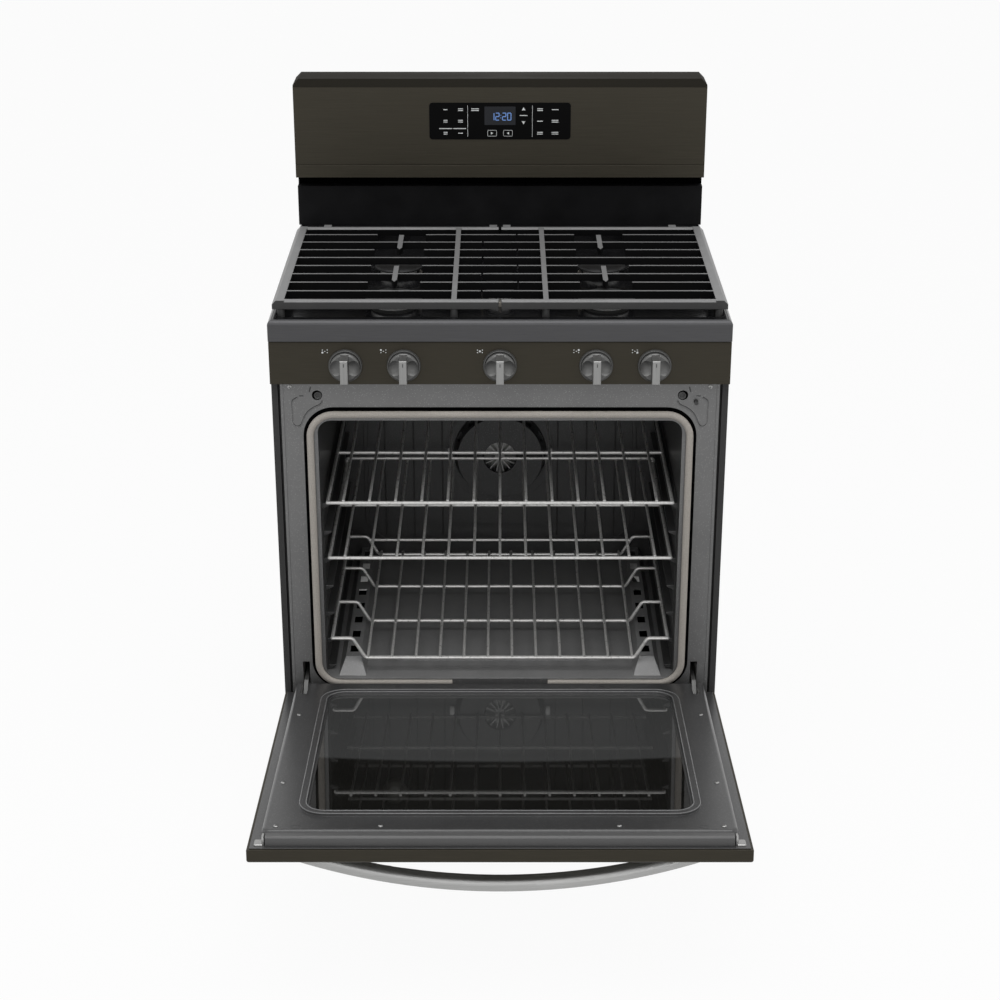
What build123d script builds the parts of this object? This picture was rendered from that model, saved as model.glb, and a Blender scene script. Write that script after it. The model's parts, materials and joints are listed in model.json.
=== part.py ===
from build123d import *
import math
import os

# A freestanding gas range: a sheet-steel cabinet with an oven, a storage drawer below it,
# a cooktop with five burners under two hinged grates, and a console along the back.
# Millimetres. X runs to the right, Y to the back and Z up. While the pieces are made, the
# face of the oven's front frame is at Y = 0; the finished range is then centred on its base.

# Overall sizes
WIDTH = 759.0
COOKTOP_HEIGHT = 914.0
HEIGHT = 1193.0
BODY_DEPTH = 617.0
SHEET = 1.5
RUN = 0.4
HALF = WIDTH / 2
INNER_HALF = HALF - SHEET
BACK = BODY_DEPTH - SHEET

# Cabinet
SIDE_BOTTOM = 32.0
SIDE_FLANGE = 10.5
SIDE_STEP = 14.0
REAR_FLANGE = 18.0
TOE_DEPTH = 42.0
TOE_HEIGHT = 40.0
BASE_RAIL_HEIGHT = 28.0
BASE_RAIL_WIDTH = 42.0
BASE_TOP = SIDE_BOTTOM + BASE_RAIL_HEIGHT
FOOT_RADIUS = 17.0
FOOT_PAD = 9.0
FOOT_EDGE = 2.0
FOOT_STEM_RADIUS = 5.0
FOOT_COLLAR = 4.0
REAR_RIB_PITCH = 118.0
REAR_RIB_COUNT = 5
REAR_RIB_WIDTH = 26.0
REAR_RIB_DEPTH = 3.0
CORD_INLET_RADIUS = 11.0
CORD_INLET_X = -230.0
CORD_INLET_Z = 150.0

# Control panel
CONTROL_FACE = 16.0
CONTROL_BOTTOM = COOKTOP_HEIGHT - 111.0
CONTROL_GAP = 2.0

# Oven front frame and cavity
FRAME_GAP = 4.0
FRAME_HALF = HALF - SIDE_FLANGE - FRAME_GAP
FRAME_PAN = 10.0
FRAME_BOTTOM = 203.0
FRAME_TOP = CONTROL_BOTTOM
FRAME_BEAD = 5.0
FRAME_BEAD_RISE = 1.2
OPENING_HALF = HALF - 74.5
OPENING_BOTTOM = 248.0
OPENING_TOP = CONTROL_BOTTOM - 70.0
OPENING_RADIUS = 22.0
FRAME_HOLE_RADIUS = 8.5
FRAME_HOLE_X = OPENING_HALF - 1.0
FRAME_HOLE_Z = CONTROL_BOTTOM - 25.0
CAVITY_DEPTH = BACK - 107.5
WALL_BEAD = 8.0
WALL_BEAD_RISE = 2.0
WALL_BEAD_SIDE = 40.0
WALL_BEAD_LOW = 33.0
WALL_BEAD_HIGH = 34.0
WALL_BEAD_RADIUS = 60.0
GASKET_DEPTH = 9.6
GASKET_WIDTH = 12.0
GASKET_OFFSET = 12.5
GASKET_LOW_OFFSET = 6.5
GASKET_CORNER = 40.0
GASKET_GAP = 168.0
RIDGE_X = OPENING_HALF - 45.0
RIDGE_FOOT = 25.0
RIDGE_TOP = 13.0
RIDGE_HEIGHT = 24.0
RIDGE_FRONT = 8.0
RIDGE_RAMP = 32.0
RIDGE_SLOT_COUNT = 8
RIDGE_SLOT_LENGTH = 26.0
RIDGE_SLOT_WIDTH = 14.0
FLOOR_PAD_HALF = RIDGE_X - 60.0
FLOOR_PAD_END = 69.0
FLOOR_PAD_RISE = 2.5
FLOOR_PAD_RADIUS = 32.0
TRAY_HALF = RIDGE_X - 28.0
TRAY_DEPTH = 40.0
TRAY_INSET = 50.0

# Oven racks and their guides
LEVEL_COUNT = 7
LEVEL_PITCH = 51.8
GUIDE_PLATE = 1.0
GUIDE_REACH = 14.0
GUIDE_LIP = 3.0
GUIDE_ROOT = 9.0
GUIDE_FLOOR_GAP = 0.6
GUIDE_START = 34.0
RACK_HALF = OPENING_HALF - 9.5
RACK_FRAME_RADIUS = 3.2
RACK_WIRE_RADIUS = 2.5
RACK_WELD = 0.8
RACK_FRONT = 28.0
RACK_REAR = CAVITY_DEPTH - 40.0
RACK_BEND = 4.5
RACK_MID_SHARE = 0.53
FLAT_WIRE_COUNT = 13
FLAT_WIRE_INSET = 27.3
UPPER_LEVEL = 6
MIDDLE_LEVEL = 4
LOWER_LEVEL = 1
OFFSET_DROP = 38.0
OFFSET_SHELF_HALF = RACK_HALF - 57.5
OFFSET_SLOPE = 22.0
OFFSET_BEND = 9.0
OFFSET_WIRE_COUNT = 12
OFFSET_WIRE_INSET = 4.8
OFFSET_BAR_COUNT = 4
OFFSET_STOP_DROP = 7.0

# Convection fan, lamp and oven burners
FAN_Z = OPENING_BOTTOM + 228.0
FAN_COVER_RADIUS = 90.0
FAN_COVER_DEPTH = 32.0
FAN_COVER_SLOPE = 8.0
FAN_COVER_RIM = 15.0
FAN_COVER_SLOTS = 14
FAN_COVER_SLOT = 18.0
FAN_INLET_RADIUS = 32.0
FAN_RADIUS = 72.0
FAN_HUB_RADIUS = 11.0
FAN_BLADES = 14
FAN_BLADE_WIDTH = 20.0
FAN_SHAFT_RADIUS = 4.0
MOTOR_RADIUS = 38.0
MOTOR_LENGTH = 62.0
MOTOR_EDGE = 8.0
MOTOR_PLATE_RADIUS = 52.0
BURNER_TUBE_RADIUS = 10.0
BROIL_HALF = 150.0
BROIL_FRONT = 110.0
BROIL_TUBE_RADIUS = 8.0
BROIL_DROP = 18.0
LAMP_X = -215.0
LAMP_Z = OPENING_TOP - 83.0
LAMP_RADIUS = 26.0
LAMP_REACH = 24.0
LAMP_RIM = 4.0

# Knobs and gas train
KNOB_X = (-254.0, -158.0, 0.0, 158.0, 254.0)
KNOB_Z = CONTROL_BOTTOM + 33.0
BEZEL_RADIUS = 28.0
BEZEL_HEIGHT = 6.0
KNOB_RADIUS = 24.5
KNOB_SKIRT = 12.0
KNOB_EDGE = 3.0
KNOB_REACH = 40.0
KNOB_BAR_WIDTH = 13.0
KNOB_BAR_LENGTH = 45.0
KNOB_BAR_TAPER = 2.0
KNOB_BAR_ROUND = 2.0
KNOB_SCOOP_RADIUS = 20.0
KNOB_SCOOP_X = 15.5
KNOB_SCOOP_DEPTH = 5.0
KNOB_PUSH = 3.0
STEM_RADIUS = 4.0
STEM_FIT = 0.2
STEM_HOLE_RADIUS = 8.0
VALVE_RADIUS = 12.5
VALVE_FRONT = 3.0
VALVE_BORE_DEPTH = 14.0
FEED_RADIUS = 4.0
FEED_DROP = 16.0
FEED_BEND = 10.0
MANIFOLD_RADIUS = 9.0
MANIFOLD_Y = 40.0
SUPPLY_X = HALF - 34.5
SUPPLY_Y = BACK - 55.5
REGULATOR_X = 250.0
REGULATOR_Z = 150.0
REGULATOR_RADIUS = 34.0
REGULATOR_CAP = 10.0
INLET_RADIUS = 10.5
INLET_BOSS_RADIUS = 16.0
INLET_DEPTH = 18.0

# Backguard
SPLASH_Y = BODY_DEPTH - 50.0
SPLASH_TOP = COOKTOP_HEIGHT + 75.0
VENT_Y = SPLASH_Y + 19.0
VENT_SLOTS = 18
VENT_SLOT_WIDTH = 24.0
VENT_SLOT_HEIGHT = 10.0
CONSOLE_Y = SPLASH_Y - 25.0
CONSOLE_BOTTOM = COOKTOP_HEIGHT + 97.0
CONSOLE_BEVEL = 14.0
CONSOLE_BEVEL_DEPTH = 9.0
CONSOLE_CLIP = 10.0
CONSOLE_LIP = 23.0
CONSOLE_GROOVE = 2.0
GLASS_WIDTH = 260.0
GLASS_HEIGHT = 68.0
GLASS_BOTTOM = CONSOLE_BOTTOM + 72.0
GLASS_RADIUS = 6.0
GLASS_THICK = 1.2

# Cooktop, burners and grates
COOKTOP_LIP = 36.0
COOKTOP_FRONT = 20.0
COOKTOP_EDGE = 8.0
SIDE_TOP = COOKTOP_HEIGHT - COOKTOP_LIP
PANEL_TOP = SIDE_TOP - CONTROL_GAP
WELL_MARGIN = 12.0
WELL_FRONT = 1.0
WELL_REAR = SPLASH_Y - 65.0
WELL_DEPTH = 14.0
WELL_RADIUS = 18.0
DECK = COOKTOP_HEIGHT - WELL_DEPTH
BURNER_X = 178.5
BURNER_FRONT_Y = 99.0
BURNER_REAR_Y = 287.0
BURNER_CENTRE_Y = 194.0
FRONT_CAP_RADIUS = 48.0
REAR_CAP_RADIUS = 42.0
CAP_OVERHANG = 10.0
BURNER_THROAT = 21.0
BURNER_DROP = 26.0
BASE_THICK = 5.0
BASE_EDGE = 2.0
HEAD_HEIGHT = 9.0
HEAD_WALL = 6.0
PORT_COUNT = 20
PORT_WIDTH = 3.0
PORT_DEPTH = 4.0
CAP_THICK = 6.0
CAP_CHAMFER = 3.0
CAP_EDGE = 1.0
OVAL_LENGTH = 184.0
OVAL_WIDTH = 48.0
IGNITER_RADIUS = 3.0
IGNITER_HEIGHT = 12.0
GRATE_TOP = COOKTOP_HEIGHT + 24.0
GRATE_HALF = HALF - 5.5
GRATE_FRONT_Y = WELL_FRONT + 18.0
GRATE_REAR_Y = WELL_REAR - 40.0
GRATE_SPLIT = 5.0
GRATE_BAR_TOP = 5.0
GRATE_BAR_FOOT = 8.0
GRATE_BAR_HEIGHT = 12.0
GRATE_BASE = GRATE_TOP - GRATE_BAR_HEIGHT
GRATE_RAIL_HEIGHT = 15.0
GRATE_RAIL_WIDTH = 12.0
GRATE_RAIL_BEVEL = 3.0
GRATE_SIDE_WIDTH = 20.0
GRATE_SPINE_X = 75.6
GRATE_SPINE_WIDTH = 9.0
GRATE_ROWS = 8
ROW_PITCH = (GRATE_REAR_Y - GRATE_FRONT_Y) / (GRATE_ROWS + 1)
GRATE_OVERLAP = 29.0
GRATE_STAND_OFF = 32.0
GRATE_BREAK = 88.0
GRATE_FINGER = 95.0
GRATE_FINGER_POINT = 12.0
FINGER_ROWS = (2, 6)
GRATE_FOOT_RADIUS = 6.0
GRATE_FOOT_GAP = 0.3
GRATE_EYE_RADIUS = 8.0
GRATE_AXIS_Y = GRATE_REAR_Y + 16.0
GRATE_AXIS_Z = GRATE_TOP - GRATE_EYE_RADIUS
GRATE_PIN_RADIUS = 4.0
GRATE_PIN_FIT = 0.3
GRATE_LUG_WIDTH = 14.0
BRACKET_EAR = 10.0
BRACKET_FOOT = 3.0
BRACKET_LENGTH = 30.0
BRACKET_FLANGE = 2.0
OUTER_LUG_X = GRATE_HALF - 64.0
GRATE_SIDES = (("left", -1), ("right", 1))
BURNERS = (
    (-BURNER_X, BURNER_FRONT_Y, FRONT_CAP_RADIUS),
    (-BURNER_X, BURNER_REAR_Y, REAR_CAP_RADIUS),
    (BURNER_X, BURNER_REAR_Y, REAR_CAP_RADIUS),
    (BURNER_X, BURNER_FRONT_Y, FRONT_CAP_RADIUS),
)

# Door
DOOR_HALF = HALF - 2.5
DOOR_BOTTOM = 205.0
DOOR_TOP = CONTROL_BOTTOM - 6.0
DOOR_INNER = 10.0
DOOR_THICK = 42.0
DOOR_OUTER = DOOR_INNER + DOOR_THICK
DOOR_OPEN = 85.0
DOOR_EDGE = 22.0
DOOR_RADIUS = 6.0
DOOR_HEM = 7.0
DOOR_HEM_SHOWN = 4.0
DOOR_WINDOW_HALF = 205.0
DOOR_WINDOW_BOTTOM = 372.0
DOOR_WINDOW_TOP = 640.0
DOOR_WINDOW_RADIUS = 14.0
PANE_THICK = 4.0
PANE_MARGIN = 14.0
INNER_WINDOW_HALF = OPENING_HALF - 13.0
INNER_WINDOW_BOTTOM = OPENING_BOTTOM + 17.0
INNER_WINDOW_TOP = OPENING_TOP - 24.0
INNER_WINDOW_RADIUS = 26.0
INNER_BEAD_GAP = 4.0
INNER_BEAD = 12.0
INNER_BEAD_RISE = 4.0
INNER_PANEL_HALF = DOOR_HALF - 20.0
INNER_PANEL_BOTTOM = DOOR_BOTTOM + 9.0
INNER_PANEL_TOP = DOOR_TOP - 25.0
INNER_PANEL_RADIUS = 12.0
INNER_PANEL_ROLL = 6.0
TRIM_HEIGHT = 14.0
TRIM_INSET = 7.0
TRIM_EDGE = 3.0
HINGE_Y = 36.0
HINGE_Z = DOOR_BOTTOM + 20.0
HINGE_X = DOOR_HALF - 37.0
HINGE_SLOT_WIDTH = 12.0
HINGE_SLOT_BOTTOM = HINGE_Z + 10.0
HINGE_SLOT_TOP = HINGE_SLOT_BOTTOM + 46.0
HINGE_ARM_THICK = 7.0
HINGE_ARM_WIDTH = 16.0
HINGE_ARM_GAP = 2.0
HINGE_PIN_RADIUS = 5.0
HINGE_PIN_FIT = 0.3
HINGE_EYE_RADIUS = 9.0
HINGE_CHANNEL_LENGTH = 180.0
HINGE_CHANNEL_WALL = 2.0
RECEIVER_DEPTH = 70.0
RECEIVER_WALL = 2.0
HANDLE_HALF = DOOR_HALF - 46.0
HANDLE_Z = DOOR_TOP - 33.0
HANDLE_HEIGHT = 28.0
HANDLE_THICK = 20.0
HANDLE_STAND = 60.0
HANDLE_ROUND = 8.0
SWITCH_X = FRAME_HOLE_X + 22.0
SWITCH_Z = FRAME_HOLE_Z - 11.0
SWITCH_RADIUS = 3.5

# Storage drawer
DRAWER_BOTTOM = 75.0
DRAWER_TOP = DOOR_BOTTOM - 8.0
DRAWER_FACE = 48.0
DRAWER_FRONT_DEPTH = 40.0
DRAWER_HALF = INNER_HALF - 40.0
DRAWER_DEPTH = BACK - 115.5
DRAWER_SHEET = 1.2
DRAWER_RUNNER_Z = 132.0
DRAWER_RUNNER = 13.0
DRAWER_WALL_DROP = 12.0
RAIL_HEIGHT = 22.0
RAIL_GAP = 0.3
RAIL_CLEARANCE = 3.0


# Shared shapes

def slab(sketch, z0, z1):
    """An XY outline with thickness from z0 to z1."""
    return extrude(Plane.XY.offset(z0) * sketch, amount=z1 - z0)


def plate(sketch, y0, y1):
    """An XZ outline with thickness from y0 to y1."""
    return extrude(Plane.XZ.offset(-y0) * sketch, amount=y0 - y1)


def run_x(sketch, x0, x1):
    """A YZ outline run along X from x0 to x1."""
    return extrude(Plane.YZ.offset(x0) * sketch, amount=x1 - x0)


def outline(*points):
    """A closed outline through points, taken anticlockwise."""
    pairs = zip(points, points[1:] + points[:1])
    area = sum(u0 * v1 - u1 * v0 for (u0, v0), (u1, v1) in pairs)
    return Polygon(*(points if area > 0 else reversed(points)), align=None)


def span(u0, u1, v0, v1, radius=0.0):
    """A rectangle between two corners, rounded where a radius is given."""
    place = Pos((u0 + u1) / 2, (v0 + v1) / 2)
    if radius > 0:
        return place * RectangleRounded(u1 - u0, v1 - v0, radius)
    return place * Rectangle(u1 - u0, v1 - v0)


def folded(points, thickness=SHEET):
    """The outline of a sheet bent along points, with its metal to the left of them."""
    normals = []
    for (u0, v0), (u1, v1) in zip(points, points[1:]):
        length = math.hypot(u1 - u0, v1 - v0)
        normals.append(((v0 - v1) / length, (u1 - u0) / length))
    far = []
    for i, (u, v) in enumerate(points):
        a = normals[max(i - 1, 0)]
        b = normals[min(i, len(normals) - 1)]
        reach = thickness / (1 + a[0] * b[0] + a[1] * b[1])
        far.append((u + (a[0] + b[0]) * reach, v + (a[1] + b[1]) * reach))
    return outline(*points, *reversed(far))


def rod(radius, start, end):
    """A round rod between two points."""
    axis = Vector(*end) - Vector(*start)
    return extrude(Plane(origin=start, z_dir=axis) * Circle(radius), amount=axis.length)


def wire(radius, *points, bend=0.0):
    """A drawn wire of eight flats along points, bent where a radius is given."""
    if len(points) == 2:
        path = Edge.make_line(points[0], points[1])
    else:
        path = FilletPolyline(*points, radius=bend)
    start = Plane(origin=path @ 0, z_dir=path % 0)
    section = start * RegularPolygon(radius, 8)
    return sweep(section, path=path)


def tube(radius, path):
    """A thin-walled tube along a path."""
    ring = Circle(radius) - Circle(radius - SHEET)
    return sweep(Plane(origin=path @ 0, z_dir=path % 0) * ring, path=path)


def joined(pieces):
    """Pieces fused into one solid."""
    whole = pieces[0]
    for piece in pieces[1:]:
        whole = whole + piece
    return whole


def both(piece):
    """A piece and its mirror image on the other side of the range."""
    return [piece, mirror(piece, about=Plane.YZ)]


# Cabinet

def side_panel():
    """The right side: one sheet with a stepped front flange that carries the front frame."""
    step = HALF - SIDE_FLANGE
    profile = folded([
        (step - SIDE_STEP, FRAME_PAN),
        (step, FRAME_PAN),
        (step, 0),
        (HALF, 0),
        (HALF, BACK),
        (HALF - REAR_FLANGE, BACK),
    ])
    toe = span(0, WIDTH, -TOE_DEPTH, TOE_DEPTH)
    return slab(profile, SIDE_BOTTOM, SIDE_TOP) - slab(toe, 0, SIDE_BOTTOM + TOE_HEIGHT)


def base_frame():
    """A rectangle of channel rails, open below, between the two sides."""
    wall = 2 * SHEET
    front, rear = TOE_DEPTH, BACK - SHEET

    def ring(outset, inset):
        outer = span(-INNER_HALF + outset, INNER_HALF - outset, front + outset, rear - outset)
        inner = span(-INNER_HALF + inset, INNER_HALF - inset, front + inset, rear - inset)
        return outer - inner

    rails = slab(ring(0, BASE_RAIL_WIDTH), SIDE_BOTTOM, BASE_TOP)
    return rails - slab(ring(wall, BASE_RAIL_WIDTH - wall), SIDE_BOTTOM, BASE_TOP - wall)


def levelling_feet():
    """Four screw feet that stand in the corners of the base."""
    top = BASE_TOP - 2 * SHEET
    neck = FOOT_STEM_RADIUS
    profile = outline(
        (0, 0), (FOOT_RADIUS - FOOT_EDGE, 0), (FOOT_RADIUS, FOOT_EDGE),
        (FOOT_RADIUS, FOOT_PAD - FOOT_EDGE), (neck + FOOT_COLLAR, FOOT_PAD), (neck, FOOT_PAD),
        (neck, top), (0, top),
    )
    foot = revolve(Plane.XZ * profile, axis=Axis.Z)
    centre = BASE_RAIL_WIDTH / 2
    feet = []
    for y in (TOE_DEPTH + centre, BACK - SHEET - centre):
        feet += both(Pos(INNER_HALF - centre, y, 0) * foot)
    return feet


def rear_cover():
    """The back sheet with pressed ribs, a bushed cord inlet and an opening for the gas inlet."""
    clip = CONSOLE_CLIP
    sheet = outline(
        (-HALF, BASE_TOP), (HALF, BASE_TOP), (HALF, HEIGHT - clip), (HALF - clip, HEIGHT),
        (clip - HALF, HEIGHT), (-HALF, HEIGHT - clip),
    )
    rib_bottom, rib_top = REGULATOR_Z + 2 * REGULATOR_RADIUS, SIDE_TOP - 2 * REAR_RIB_WIDTH
    cover = plate(sheet, BACK, BODY_DEPTH)
    for i in range(REAR_RIB_COUNT):
        x = (i - (REAR_RIB_COUNT - 1) / 2) * REAR_RIB_PITCH
        half = REAR_RIB_WIDTH / 2
        rib = span(x - half, x + half, rib_bottom, rib_top, half - SHEET)
        half = half - SHEET
        hollow = span(x - half, x + half, rib_bottom + SHEET, rib_top - SHEET, half - SHEET)
        cover += plate(rib, BACK - REAR_RIB_DEPTH, BACK)
        cover -= plate(hollow, BODY_DEPTH - REAR_RIB_DEPTH, BODY_DEPTH)
    inlet = Pos(CORD_INLET_X, CORD_INLET_Z) * Circle(CORD_INLET_RADIUS)
    bush = Pos(CORD_INLET_X, CORD_INLET_Z) * Circle(CORD_INLET_RADIUS + 2 * SHEET)
    cover += plate(bush, BACK - 4 * SHEET, BODY_DEPTH)
    cover -= plate(inlet, BACK - 4 * SHEET, BODY_DEPTH)
    gas = Pos(REGULATOR_X, REGULATOR_Z) * Circle(INLET_BOSS_RADIUS + SHEET)
    return cover - plate(gas, BACK, BODY_DEPTH)


# Oven

def oven_opening(margin=0.0):
    """The outline of the oven's mouth, grown by a margin."""
    return span(
        -OPENING_HALF - margin, OPENING_HALF + margin,
        OPENING_BOTTOM - margin, OPENING_TOP + margin, OPENING_RADIUS + margin,
    )


def oven_front_frame():
    """The enamelled pan round the oven's mouth, with a bead at its edge and hinge slots."""
    def outer(inset):
        return span(-FRAME_HALF + inset, FRAME_HALF - inset, FRAME_BOTTOM + inset, FRAME_TOP - inset)

    face = outer(0) - oven_opening()
    slot = HINGE_SLOT_WIDTH / 2
    for side in (-1, 1):
        face -= Pos(side * FRAME_HOLE_X, FRAME_HOLE_Z) * Circle(FRAME_HOLE_RADIUS)
        x = side * HINGE_X
        face -= span(x - slot, x + slot, HINGE_SLOT_BOTTOM, HINGE_SLOT_TOP)
    face -= Pos(SWITCH_X, SWITCH_Z) * Circle(SWITCH_RADIUS)
    pan = plate(face, 0, SHEET) + plate(outer(0) - outer(SHEET), 0, FRAME_PAN)
    return pan + plate(outer(0) - outer(FRAME_BEAD), -FRAME_BEAD_RISE, 0)


def oven_liner():
    """The sides and top of the cavity, one bent sheet."""
    foot = OPENING_BOTTOM - SHEET
    low = foot - 2 * OPENING_RADIUS - SHEET
    wide = OPENING_HALF + SHEET
    outer = span(-wide, wide, low, OPENING_TOP + SHEET, OPENING_RADIUS + SHEET)
    inner = span(-OPENING_HALF, OPENING_HALF, low, OPENING_TOP, OPENING_RADIUS)
    return plate(outer - inner - span(-wide, wide, low, foot), SHEET, CAVITY_DEPTH)


def oven_back_wall():
    """The back of the cavity, with a pressed bead and a hole for the fan shaft."""
    wide = OPENING_HALF + SHEET
    wall = span(-wide, wide, OPENING_BOTTOM - SHEET, OPENING_TOP + SHEET)
    wall -= Pos(0, FAN_Z) * Circle(FAN_HUB_RADIUS)

    def panel(inset):
        half = OPENING_HALF - WALL_BEAD_SIDE - inset
        low, high = OPENING_BOTTOM + WALL_BEAD_LOW + inset, OPENING_TOP - WALL_BEAD_HIGH - inset
        return span(-half, half, low, high, WALL_BEAD_RADIUS - inset)

    bead = plate(panel(0) - panel(WALL_BEAD), CAVITY_DEPTH - WALL_BEAD_RISE, CAVITY_DEPTH)
    return plate(wall, CAVITY_DEPTH, CAVITY_DEPTH + SHEET) + bead


def floor_ridge(inset):
    """A heat ridge on the oven floor, ramped at its front end and drawn in by an inset."""
    low, high = OPENING_BOTTOM - SHEET, OPENING_BOTTOM + RIDGE_HEIGHT - inset
    foot, top = RIDGE_FOOT - inset, RIDGE_TOP - inset
    front, rear = RIDGE_FRONT + inset, CAVITY_DEPTH
    section = outline(
        (RIDGE_X - foot, low), (RIDGE_X + foot, low), (RIDGE_X + top, high), (RIDGE_X - top, high))
    side = outline((front, low), (rear, low), (rear, high), (front + RIDGE_RAMP, high))
    return plate(section, front, rear) & run_x(side, RIDGE_X - foot, RIDGE_X + foot)


def oven_floor():
    """The oven bottom: a sheet with a hollow slotted ridge on each side and a raised middle."""
    under = OPENING_BOTTOM - SHEET
    floor = slab(span(-OPENING_HALF, OPENING_HALF, SHEET, CAVITY_DEPTH), under, OPENING_BOTTOM)
    pad = span(
        -FLOOR_PAD_HALF, FLOOR_PAD_HALF, FLOOR_PAD_END, CAVITY_DEPTH - FLOOR_PAD_END, FLOOR_PAD_RADIUS)
    hollow = offset(pad, amount=-SHEET)
    floor += slab(pad, under, OPENING_BOTTOM + FLOOR_PAD_RISE)
    floor -= slab(hollow, under, under + FLOOR_PAD_RISE)
    ridge, inside = floor_ridge(0), floor_ridge(SHEET)
    first = RIDGE_FRONT + RIDGE_RAMP
    pitch = (CAVITY_DEPTH - first) / RIDGE_SLOT_COUNT
    for i in range(RIDGE_SLOT_COUNT):
        slot = Pos(RIDGE_X, first + pitch * (i + 0.5)) * Rectangle(RIDGE_SLOT_WIDTH, RIDGE_SLOT_LENGTH)
        ridge -= slab(slot, OPENING_BOTTOM, OPENING_BOTTOM + RIDGE_HEIGHT)
    for solid, hole in zip(both(ridge), both(inside)):
        floor = floor + solid - hole
    return floor


def burner_tray():
    """The pan below the oven floor that holds the bake burner."""
    top = OPENING_BOTTOM - SHEET
    front, rear = TRAY_INSET, CAVITY_DEPTH - TRAY_INSET
    pan = slab(span(-TRAY_HALF, TRAY_HALF, front, rear), top - TRAY_DEPTH, top)
    inside = span(-TRAY_HALF + SHEET, TRAY_HALF - SHEET, front + SHEET, rear - SHEET)
    pan -= slab(inside, top - TRAY_DEPTH + SHEET, top)
    z = top - TRAY_DEPTH / 2
    hole = BURNER_TUBE_RADIUS + STEM_FIT
    return pan - rod(hole, (0, rear - 2 * SHEET, z), (0, rear + SHEET, z))


def bake_burner():
    """A tube with a flared mouth behind the tray, where gas and air enter."""
    r, mouth = BURNER_TUBE_RADIUS, 1.5 * BURNER_TUBE_RADIUS
    front, rear = 2 * TRAY_INSET, CAVITY_DEPTH - TRAY_INSET
    profile = outline(
        (0, front), (r, front), (r, rear + 2 * r), (mouth, rear + 4 * r),
        (mouth - SHEET, rear + 4 * r), (r - SHEET, rear + 2 * r), (r - SHEET, front + SHEET),
        (0, front + SHEET),
    )
    tube = revolve(profile, axis=Axis.Y)
    return Pos(0, 0, OPENING_BOTTOM - SHEET - TRAY_DEPTH / 2) * tube


def broil_burner():
    """A bent tube under the cavity's top, held at the back wall."""
    z = OPENING_TOP - BROIL_DROP
    path = FilletPolyline(
        (-BROIL_HALF, CAVITY_DEPTH, z), (-BROIL_HALF, BROIL_FRONT, z),
        (BROIL_HALF, BROIL_FRONT, z), (BROIL_HALF, CAVITY_DEPTH, z),
        radius=4 * BROIL_TUBE_RADIUS,
    )
    return tube(BROIL_TUBE_RADIUS, path)


def oven_gasket():
    """The door seal on the front frame, open at the middle of its lower run."""
    reach = OPENING_HALF + GASKET_OFFSET
    low, high = OPENING_BOTTOM - GASKET_LOW_OFFSET, OPENING_TOP + GASKET_OFFSET
    y = -GASKET_DEPTH / 2
    path = FilletPolyline(
        (-GASKET_GAP / 2, y, low), (-reach, y, low), (-reach, y, high),
        (reach, y, high), (reach, y, low), (GASKET_GAP / 2, y, low),
        radius=GASKET_CORNER,
    )
    start = Plane(origin=path @ 0, x_dir=(0, 1, 0), z_dir=path % 0)
    return sweep(start * Ellipse(GASKET_DEPTH / 2, GASKET_WIDTH / 2), path=path)


def level_z(level):
    """The height of a rack's side wires on one level, counted from the lowest."""
    lowest = OPENING_BOTTOM + GUIDE_FLOOR_GAP + GUIDE_ROOT + RACK_FRAME_RADIUS + RUN
    return lowest + level * LEVEL_PITCH


def rack_guides():
    """A pressed ladder of ledges on each side wall."""
    back = OPENING_HALF - GUIDE_PLATE
    under = RACK_FRAME_RADIUS + RUN
    low = level_z(0) - under - GUIDE_ROOT
    high = level_z(LEVEL_COUNT - 1) + under
    ladder = plate(span(back, OPENING_HALF, low, high), GUIDE_START, CAVITY_DEPTH)
    for level in range(LEVEL_COUNT):
        z = level_z(level) - under
        tip = OPENING_HALF - GUIDE_REACH
        ledge = outline((back, z), (tip, z), (tip, z - GUIDE_LIP), (back, z - GUIDE_ROOT))
        ladder += plate(ledge, GUIDE_START, CAVITY_DEPTH)
    return both(ladder)


def lengthwise_wires(count, half, z):
    """Parallel wires from the front bar of a rack to its rear bar."""
    pitch = 2 * half / (count - 1)
    ends = (RACK_FRONT - RACK_FRAME_RADIUS, RACK_REAR + RACK_FRAME_RADIUS)
    places = [i * pitch - half for i in range(count)]
    return [wire(RACK_WIRE_RADIUS, (x, ends[0], z), (x, ends[1], z)) for x in places]


def flat_rack(level):
    """A flat rack: wires welded on the front and middle bars and under a raised rear bar."""
    z = level_z(level)
    r = RACK_FRAME_RADIUS
    lift = z + r + RACK_WIRE_RADIUS - RACK_WELD
    stop = 2 * lift - z
    frame = wire(
        r, (-RACK_HALF, RACK_FRONT, z), (-RACK_HALF, RACK_REAR, z), (-RACK_HALF, RACK_REAR, stop),
        (RACK_HALF, RACK_REAR, stop), (RACK_HALF, RACK_REAR, z), (RACK_HALF, RACK_FRONT, z),
        bend=RACK_BEND,
    )
    middle = RACK_FRONT + RACK_MID_SHARE * (RACK_REAR - RACK_FRONT)
    bars = [wire(r, (-RACK_HALF, y, z), (RACK_HALF, y, z)) for y in (RACK_FRONT, middle)]
    return joined([frame, *bars, *lengthwise_wires(FLAT_WIRE_COUNT, RACK_HALF - FLAT_WIRE_INSET, lift)])


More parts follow.
